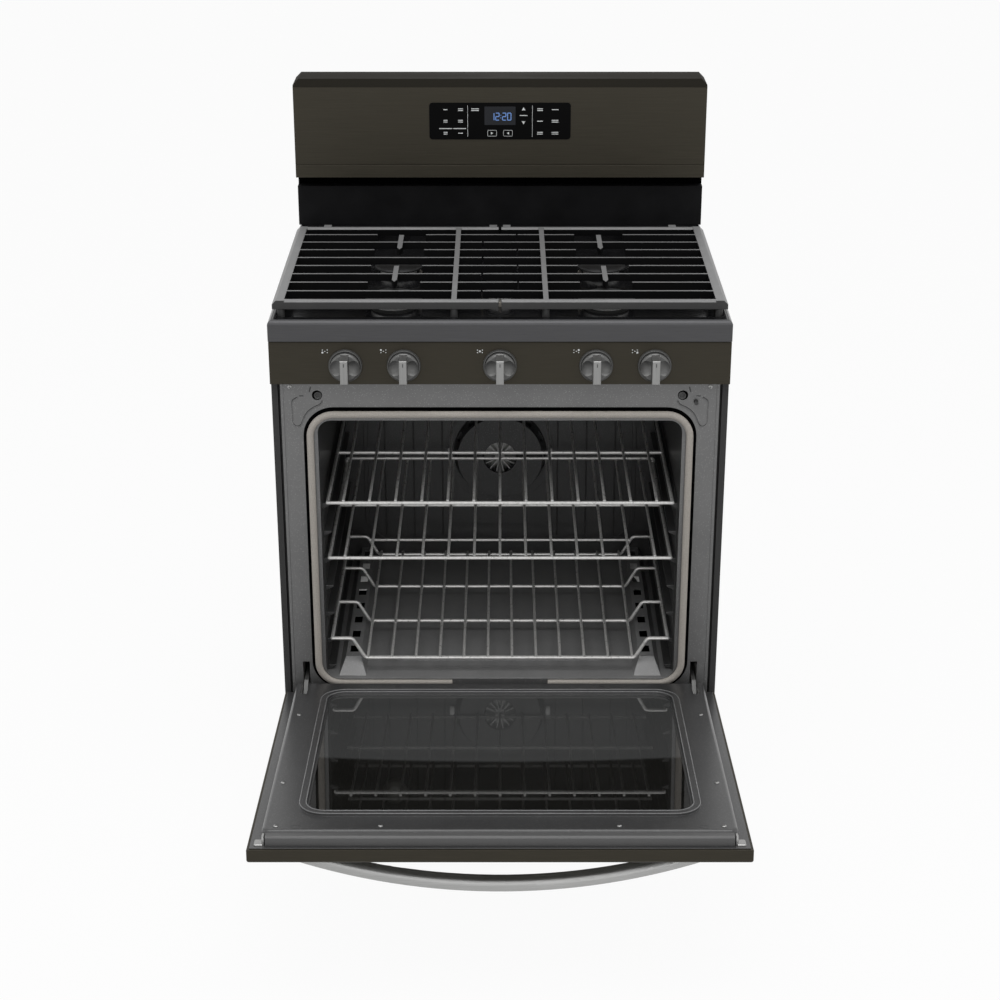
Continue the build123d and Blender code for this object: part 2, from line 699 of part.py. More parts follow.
def offset_rack(level):
    """A dropped rack: four cross bars bent down from the side wires carry a low grid."""
    z = level_z(level)
    low = z - OFFSET_DROP
    r = RACK_FRAME_RADIUS
    shoulder = OFFSET_SHELF_HALF + OFFSET_SLOPE
    pieces = [wire(r, (s * RACK_HALF, RACK_FRONT, z), (s * RACK_HALF, RACK_REAR, z)) for s in (-1, 1)]
    for i in range(OFFSET_BAR_COUNT):
        y = RACK_FRONT + i * (RACK_REAR - RACK_FRONT) / (OFFSET_BAR_COUNT - 1)
        pieces.append(wire(
            r, (-RACK_HALF, y, z), (-shoulder, y, z), (-OFFSET_SHELF_HALF, y, low),
            (OFFSET_SHELF_HALF, y, low), (shoulder, y, z), (RACK_HALF, y, z), bend=OFFSET_BEND,
        ))
    stop = shoulder - OFFSET_SLOPE * OFFSET_STOP_DROP / OFFSET_DROP
    stop_z = z - OFFSET_STOP_DROP
    pieces.append(wire(r, (-stop, RACK_REAR, stop_z), (stop, RACK_REAR, stop_z)))
    lift = low + r + RACK_WIRE_RADIUS - RACK_WELD
    pieces += lengthwise_wires(OFFSET_WIRE_COUNT, OFFSET_SHELF_HALF - OFFSET_WIRE_INSET, lift)
    return joined(pieces)


# Fan and lamp at the back of the oven

def fan_cover():
    """A dished cover with a round inlet and air slots round its sloping side."""
    front = CAVITY_DEPTH - FAN_COVER_DEPTH
    line = [
        (FAN_INLET_RADIUS - SHEET, front + 2 * SHEET), (FAN_INLET_RADIUS, front),
        (FAN_COVER_RADIUS - FAN_COVER_SLOPE, front), (FAN_COVER_RADIUS, CAVITY_DEPTH - SHEET),
        (FAN_COVER_RADIUS + FAN_COVER_RIM, CAVITY_DEPTH - SHEET),
    ]
    cover = revolve(folded(line), axis=Axis.Y)
    half, edge = FAN_COVER_SLOT / 2, FAN_COVER_DEPTH / 4
    slot = plate(
        span(FAN_COVER_RADIUS - 2 * FAN_COVER_SLOPE, FAN_COVER_RADIUS + FAN_COVER_SLOPE, -half, half),
        front + edge, CAVITY_DEPTH - edge)
    for i in range(FAN_COVER_SLOTS):
        cover -= Rot(0, i * 360 / FAN_COVER_SLOTS, 0) * slot
    return Pos(0, 0, FAN_Z) * cover


def fan_motor():
    """The motor behind the back wall, on a round plate."""
    start = CAVITY_DEPTH + SHEET
    end = start + MOTOR_LENGTH
    bore = FAN_SHAFT_RADIUS + STEM_FIT
    profile = outline(
        (bore, start), (MOTOR_PLATE_RADIUS, start), (MOTOR_PLATE_RADIUS, start + 2 * SHEET),
        (MOTOR_RADIUS, start + 2 * SHEET), (MOTOR_RADIUS, end - MOTOR_EDGE),
        (MOTOR_RADIUS - MOTOR_EDGE, end), (0, end), (0, start + MOTOR_LENGTH / 2),
        (bore, start + MOTOR_LENGTH / 2),
    )
    return Pos(0, 0, FAN_Z) * revolve(profile, axis=Axis.Y)


def convection_fan():
    """A disc with straight radial blades and a shaft into the motor."""
    front = CAVITY_DEPTH - FAN_COVER_DEPTH + 3 * SHEET
    back = front + FAN_BLADE_WIDTH
    deep = CAVITY_DEPTH + SHEET + MOTOR_LENGTH / 3
    hub = FAN_HUB_RADIUS - SHEET
    wheel = revolve(outline(
        (0, front), (hub, front), (hub, back), (FAN_RADIUS, back), (FAN_RADIUS, back + SHEET),
        (FAN_SHAFT_RADIUS, back + SHEET), (FAN_SHAFT_RADIUS, deep), (0, deep),
    ), axis=Axis.Y)
    blade = plate(span(hub - SHEET, FAN_RADIUS, -SHEET / 2, SHEET / 2), front, back)
    for i in range(FAN_BLADES):
        wheel += Rot(0, i * 360 / FAN_BLADES, 0) * blade
    return Pos(0, 0, FAN_Z) * wheel


def oven_lamp():
    """A glass dome inside the cavity and its socket behind the wall."""
    r, wall = LAMP_RADIUS, CAVITY_DEPTH
    dome = outline(
        (0, wall), (r, wall), (r, wall - LAMP_RIM), (0.9 * r, wall - 0.5 * LAMP_REACH),
        (0.6 * r, wall - 0.9 * LAMP_REACH), (0, wall - LAMP_REACH),
    )
    socket = span(0, 0.7 * r, wall + SHEET, wall + SHEET + 1.4 * r)
    place = Pos(LAMP_X, 0, LAMP_Z)
    return [place * revolve(dome, axis=Axis.Y), place * revolve(socket, axis=Axis.Y)]


# Control panel and gas train

def control_panel():
    """A shallow pan below the cooktop's edge, with a hole for each valve stem."""
    pan = plate(span(-HALF, HALF, CONTROL_BOTTOM, PANEL_TOP), -CONTROL_FACE, 0)
    inside = span(-HALF + SHEET, HALF - SHEET, CONTROL_BOTTOM + SHEET, PANEL_TOP - SHEET)
    pan -= plate(inside, SHEET - CONTROL_FACE, 0)
    for x in KNOB_X:
        pan -= plate(Pos(x, KNOB_Z) * Circle(STEM_HOLE_RADIUS), -CONTROL_FACE, SHEET - CONTROL_FACE)
    return pan


def knob_bezels():
    """A ring on the panel round each knob."""
    inner = KNOB_RADIUS + 2 * RUN
    face = -CONTROL_FACE
    profile = outline(
        (inner, face), (BEZEL_RADIUS, face), (BEZEL_RADIUS, face - BEZEL_HEIGHT / 2),
        ((inner + BEZEL_RADIUS) / 2, face - BEZEL_HEIGHT), (inner, face - BEZEL_HEIGHT),
    )
    ring = revolve(profile, axis=Axis.Y)
    return [Pos(x, 0, KNOB_Z) * ring for x in KNOB_X]


def knob():
    """A disc dished on both sides of a rounded grip bar, with a socket for the valve stem."""
    back = -CONTROL_FACE - KNOB_PUSH - RUN
    face = back - KNOB_SKIRT
    tip = -CONTROL_FACE - KNOB_REACH
    r, edge = KNOB_RADIUS, KNOB_EDGE
    body = revolve(
        outline((0, back), (r, back), (r, face + edge), (r - edge, face), (0, face)), axis=Axis.Y)
    dish = Pos(KNOB_SCOOP_X, face + KNOB_SCOOP_DEPTH - KNOB_SCOOP_RADIUS, 0) * Sphere(KNOB_SCOOP_RADIUS)
    for scoop in both(dish):
        body -= scoop
    half, reach, taper = KNOB_BAR_WIDTH / 2, KNOB_BAR_LENGTH / 2, KNOB_BAR_TAPER
    root = face + 1.5 * KNOB_SCOOP_DEPTH
    side = outline((root, -reach), (face, -reach), (tip, taper - reach), (tip, reach - taper),
                   (face, reach), (root, reach))
    bar = run_x(side, -half, half)
    bar = fillet(bar.faces().sort_by(Axis.Y)[0].edges(), KNOB_BAR_ROUND)
    socket = rod(STEM_RADIUS + STEM_FIT, (0, back + 1, 0), (0, face - KNOB_REACH / 4, 0))
    return body + bar - socket


def valve_rotor():
    """The turning stem of a valve, from inside its body to the knob's socket."""
    tip = -CONTROL_FACE - RUN - KNOB_PUSH - KNOB_SKIRT
    return rod(STEM_RADIUS, (0, VALVE_FRONT + VALVE_BORE_DEPTH - 1, 0), (0, tip, 0))


def gas_valves():
    """Five valve bodies saddled on the manifold, each with the feed tube to its burner."""
    bore_end = VALVE_FRONT + VALVE_BORE_DEPTH
    pipe = rod(MANIFOLD_RADIUS, (-HALF, MANIFOLD_Y, 0), (HALF, MANIFOLD_Y, 0))
    body = rod(VALVE_RADIUS, (0, VALVE_FRONT, 0), (0, MANIFOLD_Y, 0))
    body -= rod(STEM_RADIUS + STEM_FIT, (0, VALVE_FRONT - 1, 0), (0, bore_end, 0))
    body -= pipe
    rise = bore_end + FEED_RADIUS
    throat = DECK - BURNER_DROP
    level = throat - FEED_DROP
    centre = (0, BURNER_CENTRE_Y, 0)
    valves = []
    for x, (end_x, end_y, _) in zip(KNOB_X, (*BURNERS[:2], centre, *BURNERS[2:])):
        feed = FilletPolyline(
            (x, rise, KNOB_Z + VALVE_RADIUS / 2), (x, rise, level), (end_x, end_y, level),
            (end_x, end_y, throat), radius=FEED_BEND)
        start = Plane(origin=feed @ 0, z_dir=feed % 0)
        valves.append(Pos(x, 0, KNOB_Z) * body + sweep(start * Circle(FEED_RADIUS), path=feed))
    return valves


def gas_manifold():
    """The pipe from the regulator up the back and along behind the control panel."""
    start = KNOB_X[0] - 2 * VALVE_RADIUS
    path = FilletPolyline(
        (start, MANIFOLD_Y, KNOB_Z), (SUPPLY_X, MANIFOLD_Y, KNOB_Z), (SUPPLY_X, SUPPLY_Y, KNOB_Z),
        (SUPPLY_X, SUPPLY_Y, REGULATOR_Z), (REGULATOR_X + REGULATOR_RADIUS, SUPPLY_Y, REGULATOR_Z),
        radius=3 * MANIFOLD_RADIUS,
    )
    return tube(MANIFOLD_RADIUS, path)


def pressure_regulator():
    """The regulator at the back, with its threaded gas inlet facing the wall."""
    front = SUPPLY_Y - 1.6 * MANIFOLD_RADIUS
    rear = SUPPLY_Y + 1.6 * MANIFOLD_RADIUS
    r, boss = REGULATOR_RADIUS, INLET_BOSS_RADIUS
    flange = boss + 4 * SHEET
    profile = outline(
        (0, front - REGULATOR_CAP), (0.5 * r, front - REGULATOR_CAP), (0.7 * r, front), (r, front),
        (r, rear), (boss, rear),
        (boss, BACK - 2 * SHEET), (flange, BACK - 2 * SHEET), (flange, BACK),
        (INLET_RADIUS, BACK), (INLET_RADIUS, BACK - INLET_DEPTH), (0, BACK - INLET_DEPTH),
    )
    body = Pos(REGULATOR_X, 0, REGULATOR_Z) * revolve(profile, axis=Axis.Y)
    side = REGULATOR_X + REGULATOR_RADIUS
    z = REGULATOR_Z
    body += rod(1.5 * MANIFOLD_RADIUS, (REGULATOR_X, SUPPLY_Y, z), (side, SUPPLY_Y, z))
    return body


# Cooktop

def cooktop_well(margin):
    """The outline of the recessed deck, grown by a margin."""
    reach = HALF - WELL_MARGIN + margin
    return span(-reach, reach, WELL_FRONT - margin, WELL_REAR + margin, WELL_RADIUS + margin)


def cooktop():
    """The pressed top: rolled edges, a recessed deck and a hole for each burner."""
    def blank(inset, radius):
        top = slab(
            span(-HALF + inset, HALF - inset, -COOKTOP_FRONT + inset, BACK - inset),
            SIDE_TOP, COOKTOP_HEIGHT - inset,
        )
        rim = top.faces().sort_by(Axis.Z)[-1].edges()
        return fillet(rim.sort_by(Axis.Y)[:-1], radius)

    skin = blank(0, COOKTOP_EDGE) - slab(cooktop_well(0), DECK, COOKTOP_HEIGHT)
    hollow = blank(SHEET, COOKTOP_EDGE - SHEET)
    hollow -= slab(cooktop_well(SHEET), DECK - SHEET, COOKTOP_HEIGHT)
    top = skin - hollow
    for x, y, _ in BURNERS:
        top -= slab(Pos(x, y) * Circle(BURNER_THROAT), DECK - SHEET, DECK)
    return top - slab(oval(OVAL_LENGTH / 2, OVAL_WIDTH / 2), DECK - SHEET, DECK)


def oval(length, width):
    """An outline with round ends along the range's centre line."""
    return Pos(0, BURNER_CENTRE_Y) * Rot(0, 0, 90) * SlotOverall(length, width)


def burner_bases():
    """Cast cups that sit on the deck, each with a throat through it."""
    bases = []
    for x, y, cap in BURNERS:
        flange, throat = cap - CAP_OVERHANG + 1, BURNER_THROAT - RUN
        profile = outline(
            (0, DECK - BURNER_DROP), (throat, DECK - BURNER_DROP), (throat, DECK), (flange, DECK),
            (flange, DECK + BASE_THICK - BASE_EDGE), (flange - BASE_EDGE, DECK + BASE_THICK),
            (0, DECK + BASE_THICK),
        )
        bases.append(Pos(x, y, 0) * revolve(Plane.XZ * profile, axis=Axis.Z))
    flange = slab(oval(OVAL_LENGTH - CAP_OVERHANG, OVAL_WIDTH - CAP_OVERHANG), DECK, DECK + BASE_THICK)
    throat = oval(OVAL_LENGTH / 2 - 2 * RUN, OVAL_WIDTH / 2 - 2 * RUN)
    bases.append(flange + slab(throat, DECK - BURNER_DROP, DECK))
    return bases


def burner_heads():
    """Rings with ports cut in their upper edge."""
    low = DECK + BASE_THICK
    high = low + HEAD_HEIGHT
    heads = []
    for x, y, cap in BURNERS:
        r = cap - CAP_OVERHANG
        head = slab(Circle(r) - Circle(r - HEAD_WALL), low, high)
        for i in range(PORT_COUNT):
            port = span(r - 2 * HEAD_WALL, r + HEAD_WALL, -PORT_WIDTH / 2, PORT_WIDTH / 2)
            head -= slab(Rot(0, 0, i * 360 / PORT_COUNT) * port, high - PORT_DEPTH, high)
        heads.append(Pos(x, y, 0) * head)
    length, width = OVAL_LENGTH - CAP_OVERHANG, OVAL_WIDTH - CAP_OVERHANG
    ring = oval(length, width) - oval(length - 2 * HEAD_WALL, width - 2 * HEAD_WALL)
    head = slab(ring, low, high)
    count = PORT_COUNT // 2
    pitch = (length - width) / (count - 1)
    for i in range(count):
        y = BURNER_CENTRE_Y + (i - (count - 1) / 2) * pitch
        slot = span(-width, width, y - PORT_WIDTH / 2, y + PORT_WIDTH / 2)
        head -= slab(slot, high - PORT_DEPTH, high)
    return heads + [head]


def burner_caps():
    """Enamelled caps with a sloping edge."""
    low = DECK + BASE_THICK + HEAD_HEIGHT
    high = low + CAP_THICK
    caps = []
    for x, y, r in BURNERS:
        profile = outline(
            (0, low), (r - CAP_EDGE, low), (r, low + CAP_EDGE), (r, high - CAP_CHAMFER),
            (r - 2 * CAP_CHAMFER, high), (0, high),
        )
        caps.append(Pos(x, y, 0) * revolve(Plane.XZ * profile, axis=Axis.Z))
    cap = slab(oval(OVAL_LENGTH, OVAL_WIDTH), low, high)
    caps.append(chamfer(cap.faces().sort_by(Axis.Z)[-1].edges(), CAP_CHAMFER))
    return caps


def igniters():
    """A ceramic spark post on the deck beside each burner, under the edge of its cap."""
    post = outline(
        (0, 0), (IGNITER_RADIUS, 0), (IGNITER_RADIUS, 0.6 * IGNITER_HEIGHT),
        (IGNITER_RADIUS / 3, 0.6 * IGNITER_HEIGHT), (IGNITER_RADIUS / 3, IGNITER_HEIGHT),
        (0, IGNITER_HEIGHT),
    )
    post = revolve(Plane.XZ * post, axis=Axis.Z)
    margin = CAP_OVERHANG / 2 - 1
    posts = []
    for x, y, cap in BURNERS:
        posts.append(Pos(x - math.copysign(cap - margin, x), y, DECK) * post)
    posts.append(Pos(0, BURNER_CENTRE_Y - OVAL_LENGTH / 2 + margin - IGNITER_RADIUS, DECK) * post)
    return posts


def grate_bar_x(x0, x1, y):
    """A cross bar with tapered sides."""
    foot, top = GRATE_BAR_FOOT / 2, GRATE_BAR_TOP / 2
    shape = outline(
        (y - foot, GRATE_BASE), (y + foot, GRATE_BASE), (y + top, GRATE_TOP), (y - top, GRATE_TOP))
    return run_x(shape, x0, x1)


def grate(side):
    """One cast grate: a frame, a spine, rows of bars that reach into its neighbour, and fingers."""
    low = GRATE_TOP - GRATE_RAIL_HEIGHT
    split, half_rail = GRATE_SPLIT / 2, GRATE_RAIL_WIDTH / 2
    slope = GRATE_SIDE_WIDTH / 3
    front, rear = GRATE_FRONT_Y, GRATE_REAR_Y
    rim = plate(outline(
        (GRATE_HALF, low), (GRATE_HALF, GRATE_TOP - slope), (GRATE_HALF - slope, GRATE_TOP),
        (GRATE_HALF - GRATE_SIDE_WIDTH, GRATE_TOP), (GRATE_HALF - GRATE_SIDE_WIDTH, low),
    ), front - half_rail, rear + half_rail)
    pieces = [rim]
    bevel = GRATE_RAIL_BEVEL
    for y in (front, rear):
        rail = outline(
            (y - half_rail, low), (y + half_rail, low), (y + half_rail, GRATE_TOP - bevel),
            (y + half_rail - bevel, GRATE_TOP), (y - half_rail + bevel, GRATE_TOP),
            (y - half_rail, GRATE_TOP - bevel))
        pieces.append(run_x(rail, split, GRATE_HALF - slope))
    spine = GRATE_SPINE_WIDTH / 2
    x = GRATE_SPINE_X
    pieces.append(slab(span(x - spine, x + spine, front, rear), GRATE_BASE, GRATE_TOP))
    outer = GRATE_HALF - GRATE_SIDE_WIDTH / 2
    for row in range(1, GRATE_ROWS + 1):
        y = rear - row * ROW_PITCH
        odd = row % 2 == 1
        inner = -GRATE_OVERLAP if odd == (side < 0) else GRATE_STAND_OFF
        if odd:
            pieces.append(grate_bar_x(inner, BURNER_X - GRATE_BREAK / 2, y))
            pieces.append(grate_bar_x(BURNER_X + GRATE_BREAK / 2, outer, y))
        else:
            pieces.append(grate_bar_x(inner, outer, y))
    finger, point = GRATE_FINGER / 2, GRATE_FINGER_POINT
    for row in FINGER_ROWS:
        y = rear - row * ROW_PITCH
        shape = outline(
            (BURNER_X, y - finger), (BURNER_X + spine, y - finger + point),
            (BURNER_X + spine, y + finger), (BURNER_X - spine, y + finger),
            (BURNER_X - spine, y - finger + point),
        )
        pieces.append(slab(shape, GRATE_BASE, GRATE_TOP))
    sole = DECK + GRATE_FOOT_GAP
    for foot_x in (GRATE_HALF - GRATE_SIDE_WIDTH + GRATE_FOOT_RADIUS, GRATE_SPINE_X):
        for y in (front, (front + rear) / 2, rear):
            pieces.append(rod(GRATE_FOOT_RADIUS, (foot_x, y, sole), (foot_x, y, GRATE_BASE)))
    axis = Pos(GRATE_AXIS_Y, GRATE_AXIS_Z)
    lug = span(rear, GRATE_AXIS_Y, low, GRATE_TOP) + axis * Circle(GRATE_EYE_RADIUS)
    pieces += [run_x(lug, x0, x0 + GRATE_LUG_WIDTH) for x0 in lug_starts()]
    whole = joined(pieces)
    bore = axis * Circle(GRATE_PIN_RADIUS + GRATE_PIN_FIT)
    for x0 in lug_starts():
        whole -= run_x(bore, x0, x0 + GRATE_LUG_WIDTH)
    return whole if side > 0 else mirror(whole, about=Plane.YZ)


def lug_starts():
    """Where the two hinge lugs of the right grate begin."""
    return (BRACKET_EAR / 2 + RUN, OUTER_LUG_X)


def grate_hinge_brackets():
    """Upright ears on the deck with the pins that the grates turn on."""
    half = BRACKET_LENGTH / 2
    axis = (GRATE_AXIS_Y, GRATE_AXIS_Z)
    web = GRATE_EYE_RADIUS
    ear = span(axis[0] - web, axis[0] + web, DECK, axis[1]) + Pos(*axis) * Circle(web)
    foot = span(axis[0] - half, axis[0] + half, DECK, DECK + BRACKET_FOOT)

    def bracket(x0, x1, pin0, pin1):
        body = run_x(ear, x0, x1) + run_x(foot, x0 - BRACKET_FLANGE, x1 + BRACKET_FLANGE)
        return body + rod(GRATE_PIN_RADIUS, (pin0, *axis), (pin1, *axis))

    inner, outer = lug_starts()
    reach = inner + GRATE_LUG_WIDTH + BRACKET_FLANGE
    centre = bracket(-BRACKET_EAR / 2, BRACKET_EAR / 2, -reach, reach)
    start = outer + GRATE_LUG_WIDTH + RUN
    return [centre] + both(bracket(start, start + BRACKET_EAR, outer - BRACKET_FLANGE, start + 1))


# Backguard

def backsplash():
    """The upright sheet behind the burners, with a slotted vent under the console."""
    profile = folded([
        (VENT_Y, CONSOLE_BOTTOM), (VENT_Y, SPLASH_TOP), (SPLASH_Y, SPLASH_TOP),
        (SPLASH_Y, COOKTOP_HEIGHT),
    ])
    sheet = run_x(profile, -HALF, HALF)
    end = span(SPLASH_Y, BACK, COOKTOP_HEIGHT, SPLASH_TOP) + span(VENT_Y, BACK, SPLASH_TOP, CONSOLE_BOTTOM)
    for cap in both(run_x(end, HALF - SHEET, HALF)):
        sheet += cap
    pitch = WIDTH / (VENT_SLOTS + 1)
    z = (SPLASH_TOP + CONSOLE_BOTTOM) / 2
    for i in range(VENT_SLOTS):
        x = (i + 1) * pitch - HALF
        half, tall = VENT_SLOT_WIDTH / 2, VENT_SLOT_HEIGHT / 2
        sheet -= plate(span(x - half, x + half, z - tall, z + tall), VENT_Y, VENT_Y + SHEET)
    return sheet


def backguard_console():
    """The console's shell, open at the back, with a bevelled top and clipped corners."""
    def shell(inset):
        face, low, high = CONSOLE_Y + inset, CONSOLE_BOTTOM + inset, HEIGHT - inset
        shape = outline(
            (face, low), (BACK, low), (BACK, high), (face + CONSOLE_BEVEL_DEPTH, high),
            (face, high - CONSOLE_BEVEL),
        )
        half, clip = HALF - inset, CONSOLE_CLIP
        front = outline(
            (-half, low), (half, low), (half, high - clip), (half - clip, high),
            (clip - half, high), (-half, high - clip),
        )
        return run_x(shape, -half, half) & plate(front, face, BACK)

    console = shell(0) - shell(SHEET)
    groove = CONSOLE_BOTTOM + CONSOLE_LIP
    line = span(-HALF, HALF, groove, groove + CONSOLE_GROOVE)
    return console - plate(line, CONSOLE_Y, CONSOLE_Y + SHEET / 2)


def control_glass():
    """The touch glass on the console's face."""
    half = GLASS_WIDTH / 2
    pane = span(-half, half, GLASS_BOTTOM, GLASS_BOTTOM + GLASS_HEIGHT, GLASS_RADIUS)
    return plate(pane, CONSOLE_Y - GLASS_THICK, CONSOLE_Y)


# Door, made closed and then swung open about its hinge pins

def hinge_cut():
    """The room in the door's lower corners that the hinge arms sweep through."""
    half = HINGE_ARM_THICK / 2 + HINGE_ARM_GAP
    top = HINGE_Z + 2 * HINGE_EYE_RADIUS + HINGE_ARM_WIDTH
    deep = -HINGE_Y - HINGE_EYE_RADIUS - HINGE_ARM_GAP
    cut = plate(span(HINGE_X - half, HINGE_X + half, DOOR_BOTTOM - 1, top), deep, 1 - DOOR_INNER)
    return both(cut)


def door_outline(inset):
    """The door's outline, drawn in by an inset."""
    half = DOOR_HALF - inset
    return span(-half, half, DOOR_BOTTOM + inset, DOOR_TOP - inset)


def door_outer_panel():
    """The outer skin: a pan with rolled edges, a hem round its rim and a window opening."""
    rim = DOOR_EDGE - DOOR_OUTER

    def blank(inset):
        pan = plate(door_outline(inset), inset - DOOR_OUTER, rim)
        return fillet(pan.faces().sort_by(Axis.Y)[0].edges(), DOOR_RADIUS - inset)

    window = span(
        -DOOR_WINDOW_HALF, DOOR_WINDOW_HALF, DOOR_WINDOW_BOTTOM, DOOR_WINDOW_TOP, DOOR_WINDOW_RADIUS)
    skin = blank(0) - blank(SHEET) - plate(window, -DOOR_OUTER, SHEET - DOOR_OUTER)
    skin += plate(door_outline(0) - door_outline(DOOR_HEM), rim - SHEET, rim)
    for cut in hinge_cut():
        skin -= cut
    return skin


def door_outer_glass():
    """The outer pane, behind the skin's window."""
    m = PANE_MARGIN
    pane = span(
        -DOOR_WINDOW_HALF - m, DOOR_WINDOW_HALF + m, DOOR_WINDOW_BOTTOM - m, DOOR_WINDOW_TOP + m)
    return plate(pane, SHEET - DOOR_OUTER, SHEET - DOOR_OUTER + PANE_THICK)


def inner_window(margin):
    """The inner window's outline, grown by a margin."""
    return span(
        -INNER_WINDOW_HALF - margin, INNER_WINDOW_HALF + margin,
        INNER_WINDOW_BOTTOM - margin, INNER_WINDOW_TOP + margin, INNER_WINDOW_RADIUS + margin,
    )


def door_inner_panel():
    """The enamelled liner: a raised pan with a bead round the window, on a flange over the hem."""
    back = DOOR_EDGE - DOOR_OUTER

    def face(inset):
        half = INNER_PANEL_HALF - inset
        shape = span(-half, half, INNER_PANEL_BOTTOM + inset, INNER_PANEL_TOP - inset)
        return fillet(shape.vertices().sort_by(Axis.Y)[-2:], INNER_PANEL_RADIUS - inset)

    def pan(inset):
        block = plate(face(inset), back, -DOOR_INNER - inset)
        rim = block.faces().sort_by(Axis.Y)[-1].edges().sort_by(Axis.Z)[1:]
        return fillet(rim, INNER_PANEL_ROLL - inset)

    flange = door_outline(DOOR_HEM_SHOWN) - face(SHEET)
    panel = plate(flange, back, back + SHEET) + pan(0) - pan(SHEET)
    panel -= plate(inner_window(0), -DOOR_INNER - SHEET, -DOOR_INNER)
    bead = inner_window(INNER_BEAD_GAP + INNER_BEAD) - inner_window(INNER_BEAD_GAP)
    panel += plate(bead, -DOOR_INNER, INNER_BEAD_RISE - DOOR_INNER)
    for cut in hinge_cut():
        panel -= cut
    return panel


def door_inner_glass():
    """The inner pane, held behind the liner's window."""
    back = -DOOR_INNER - SHEET
    half = INNER_WINDOW_HALF + PANE_MARGIN
    pane = span(-half, half, INNER_WINDOW_BOTTOM - PANE_MARGIN, INNER_WINDOW_TOP + PANE_MARGIN)
    return plate(pane, back - PANE_THICK, back)


def door_top_trim():
    """The folded band along the top edge, above the liner."""
    half = INNER_PANEL_HALF - TRIM_INSET
    start = DOOR_EDGE - DOOR_OUTER + SHEET
    end = -DOOR_INNER - 2 * SHEET
    low, high = INNER_PANEL_TOP, INNER_PANEL_TOP + TRIM_HEIGHT
    edge = TRIM_EDGE
    line = [(start, low), (end, low), (end, high - edge), (end - edge, high), (start, high)]
    return run_x(folded(line), -half, half)


def door_handle():
    """A bowed, rounded bar that meets the door's face at both ends."""
    face = -DOOR_OUTER
    radius = (HANDLE_HALF**2 + HANDLE_STAND**2) / (2 * HANDLE_STAND)
    centre = face - HANDLE_STAND + radius
    reach = math.degrees(math.acos(1 - (HANDLE_STAND + 2 * HANDLE_THICK) / radius))
    axis = Axis((0, centre, 0), (0, 0, 1))
    middle = face - HANDLE_STAND + HANDLE_THICK / 2
    section = Pos(middle, HANDLE_Z) * RectangleRounded(HANDLE_THICK, HANDLE_HEIGHT, HANDLE_ROUND)
    bow = revolve(Plane.YZ * section, axis, 2 * reach).rotate(axis, -reach)
    room = span(-DOOR_HALF, DOOR_HALF, HANDLE_Z - HANDLE_HEIGHT, HANDLE_Z + HANDLE_HEIGHT)
    return bow & plate(room, face - 2 * HANDLE_STAND, face)


def door_hinge_channels():
    """Steel channels in the door's lower corners, bored for the hinge pins."""
    wall = HINGE_CHANNEL_WALL
    gap = HINGE_ARM_THICK / 2 + HINGE_ARM_GAP
    low = INNER_PANEL_BOTTOM + SHEET
    front, back = SHEET - DOOR_OUTER, -DOOR_INNER - SHEET
    outer = HINGE_X + gap + wall
    inner = HINGE_X - gap - wall
    high = low + HINGE_CHANNEL_LENGTH
    channel = slab(span(inner, outer, front, back), low, high)
    channel -= slab(span(inner + wall, outer - wall, front + wall, back), low, high)
    bore = HINGE_PIN_RADIUS + HINGE_PIN_FIT
    channel -= rod(bore, (inner - 1, -HINGE_Y, HINGE_Z), (outer + 1, -HINGE_Y, HINGE_Z))
    return both(channel)


def hinge_arms():
    """Links that reach out of the front frame's slots to the pins that the door turns on."""
    half = HINGE_ARM_THICK / 2
    pin = (-HINGE_Y, HINGE_Z)
    elbow = (-HINGE_ARM_WIDTH / 2, HINGE_SLOT_BOTTOM + HINGE_ARM_WIDTH / 2)
    eye = Pos(*pin) * Circle(HINGE_EYE_RADIUS)
    knee = Pos(*elbow) * Circle(HINGE_ARM_WIDTH / 2)
    link = make_hull([*eye.edges(), *knee.edges()])
    low, end = HINGE_SLOT_BOTTOM, RECEIVER_DEPTH - RECEIVER_WALL
    tail = span(elbow[0], end, low, low + HINGE_ARM_WIDTH)
    arm = run_x(link + tail, HINGE_X - half, HINGE_X + half)
    reach = half + HINGE_CHANNEL_WALL + 2 * HINGE_ARM_GAP
    arm += rod(HINGE_PIN_RADIUS, (HINGE_X - reach, *pin), (HINGE_X + reach, *pin))
    return both(arm)


def hinge_receivers():
    """Boxes behind the front frame's slots that the hinge arms hook into."""
    def around(wall):
        half = HINGE_SLOT_WIDTH / 2 + wall
        return span(HINGE_X - half, HINGE_X + half, HINGE_SLOT_BOTTOM - wall, HINGE_SLOT_TOP + wall)

    return both(plate(around(RECEIVER_WALL) - around(0), SHEET, RECEIVER_DEPTH))


def door_switch():
    """The lamp switch: a plunger in the front frame with its body behind."""
    r = SWITCH_RADIUS
    tip = -DOOR_INNER + 2 * RUN
    body = rod(2 * r, (SWITCH_X, SHEET, SWITCH_Z), (SWITCH_X, FRAME_PAN * 2, SWITCH_Z))
    return body + rod(r - STEM_FIT, (SWITCH_X, tip, SWITCH_Z), (SWITCH_X, 2 * SHEET, SWITCH_Z))


def swung_open(pieces):
    """Door pieces turned from closed to the open position."""
    hinge = Axis((0, -HINGE_Y, HINGE_Z), (1, 0, 0))
    return [piece.rotate(hinge, DOOR_OPEN) for piece in as_list(pieces)]


# Storage drawer

def drawer_front():
    """The drawer's face: a pan with rolled edges."""
    def blank(inset):
        shape = span(-DOOR_HALF + inset, DOOR_HALF - inset, DRAWER_BOTTOM + inset, DRAWER_TOP - inset)
        pan = plate(shape, inset - DRAWER_FACE, DRAWER_FRONT_DEPTH - DRAWER_FACE)
        return fillet(pan.faces().sort_by(Axis.Y)[0].edges(), DOOR_RADIUS - inset)

    return blank(0) - blank(SHEET)


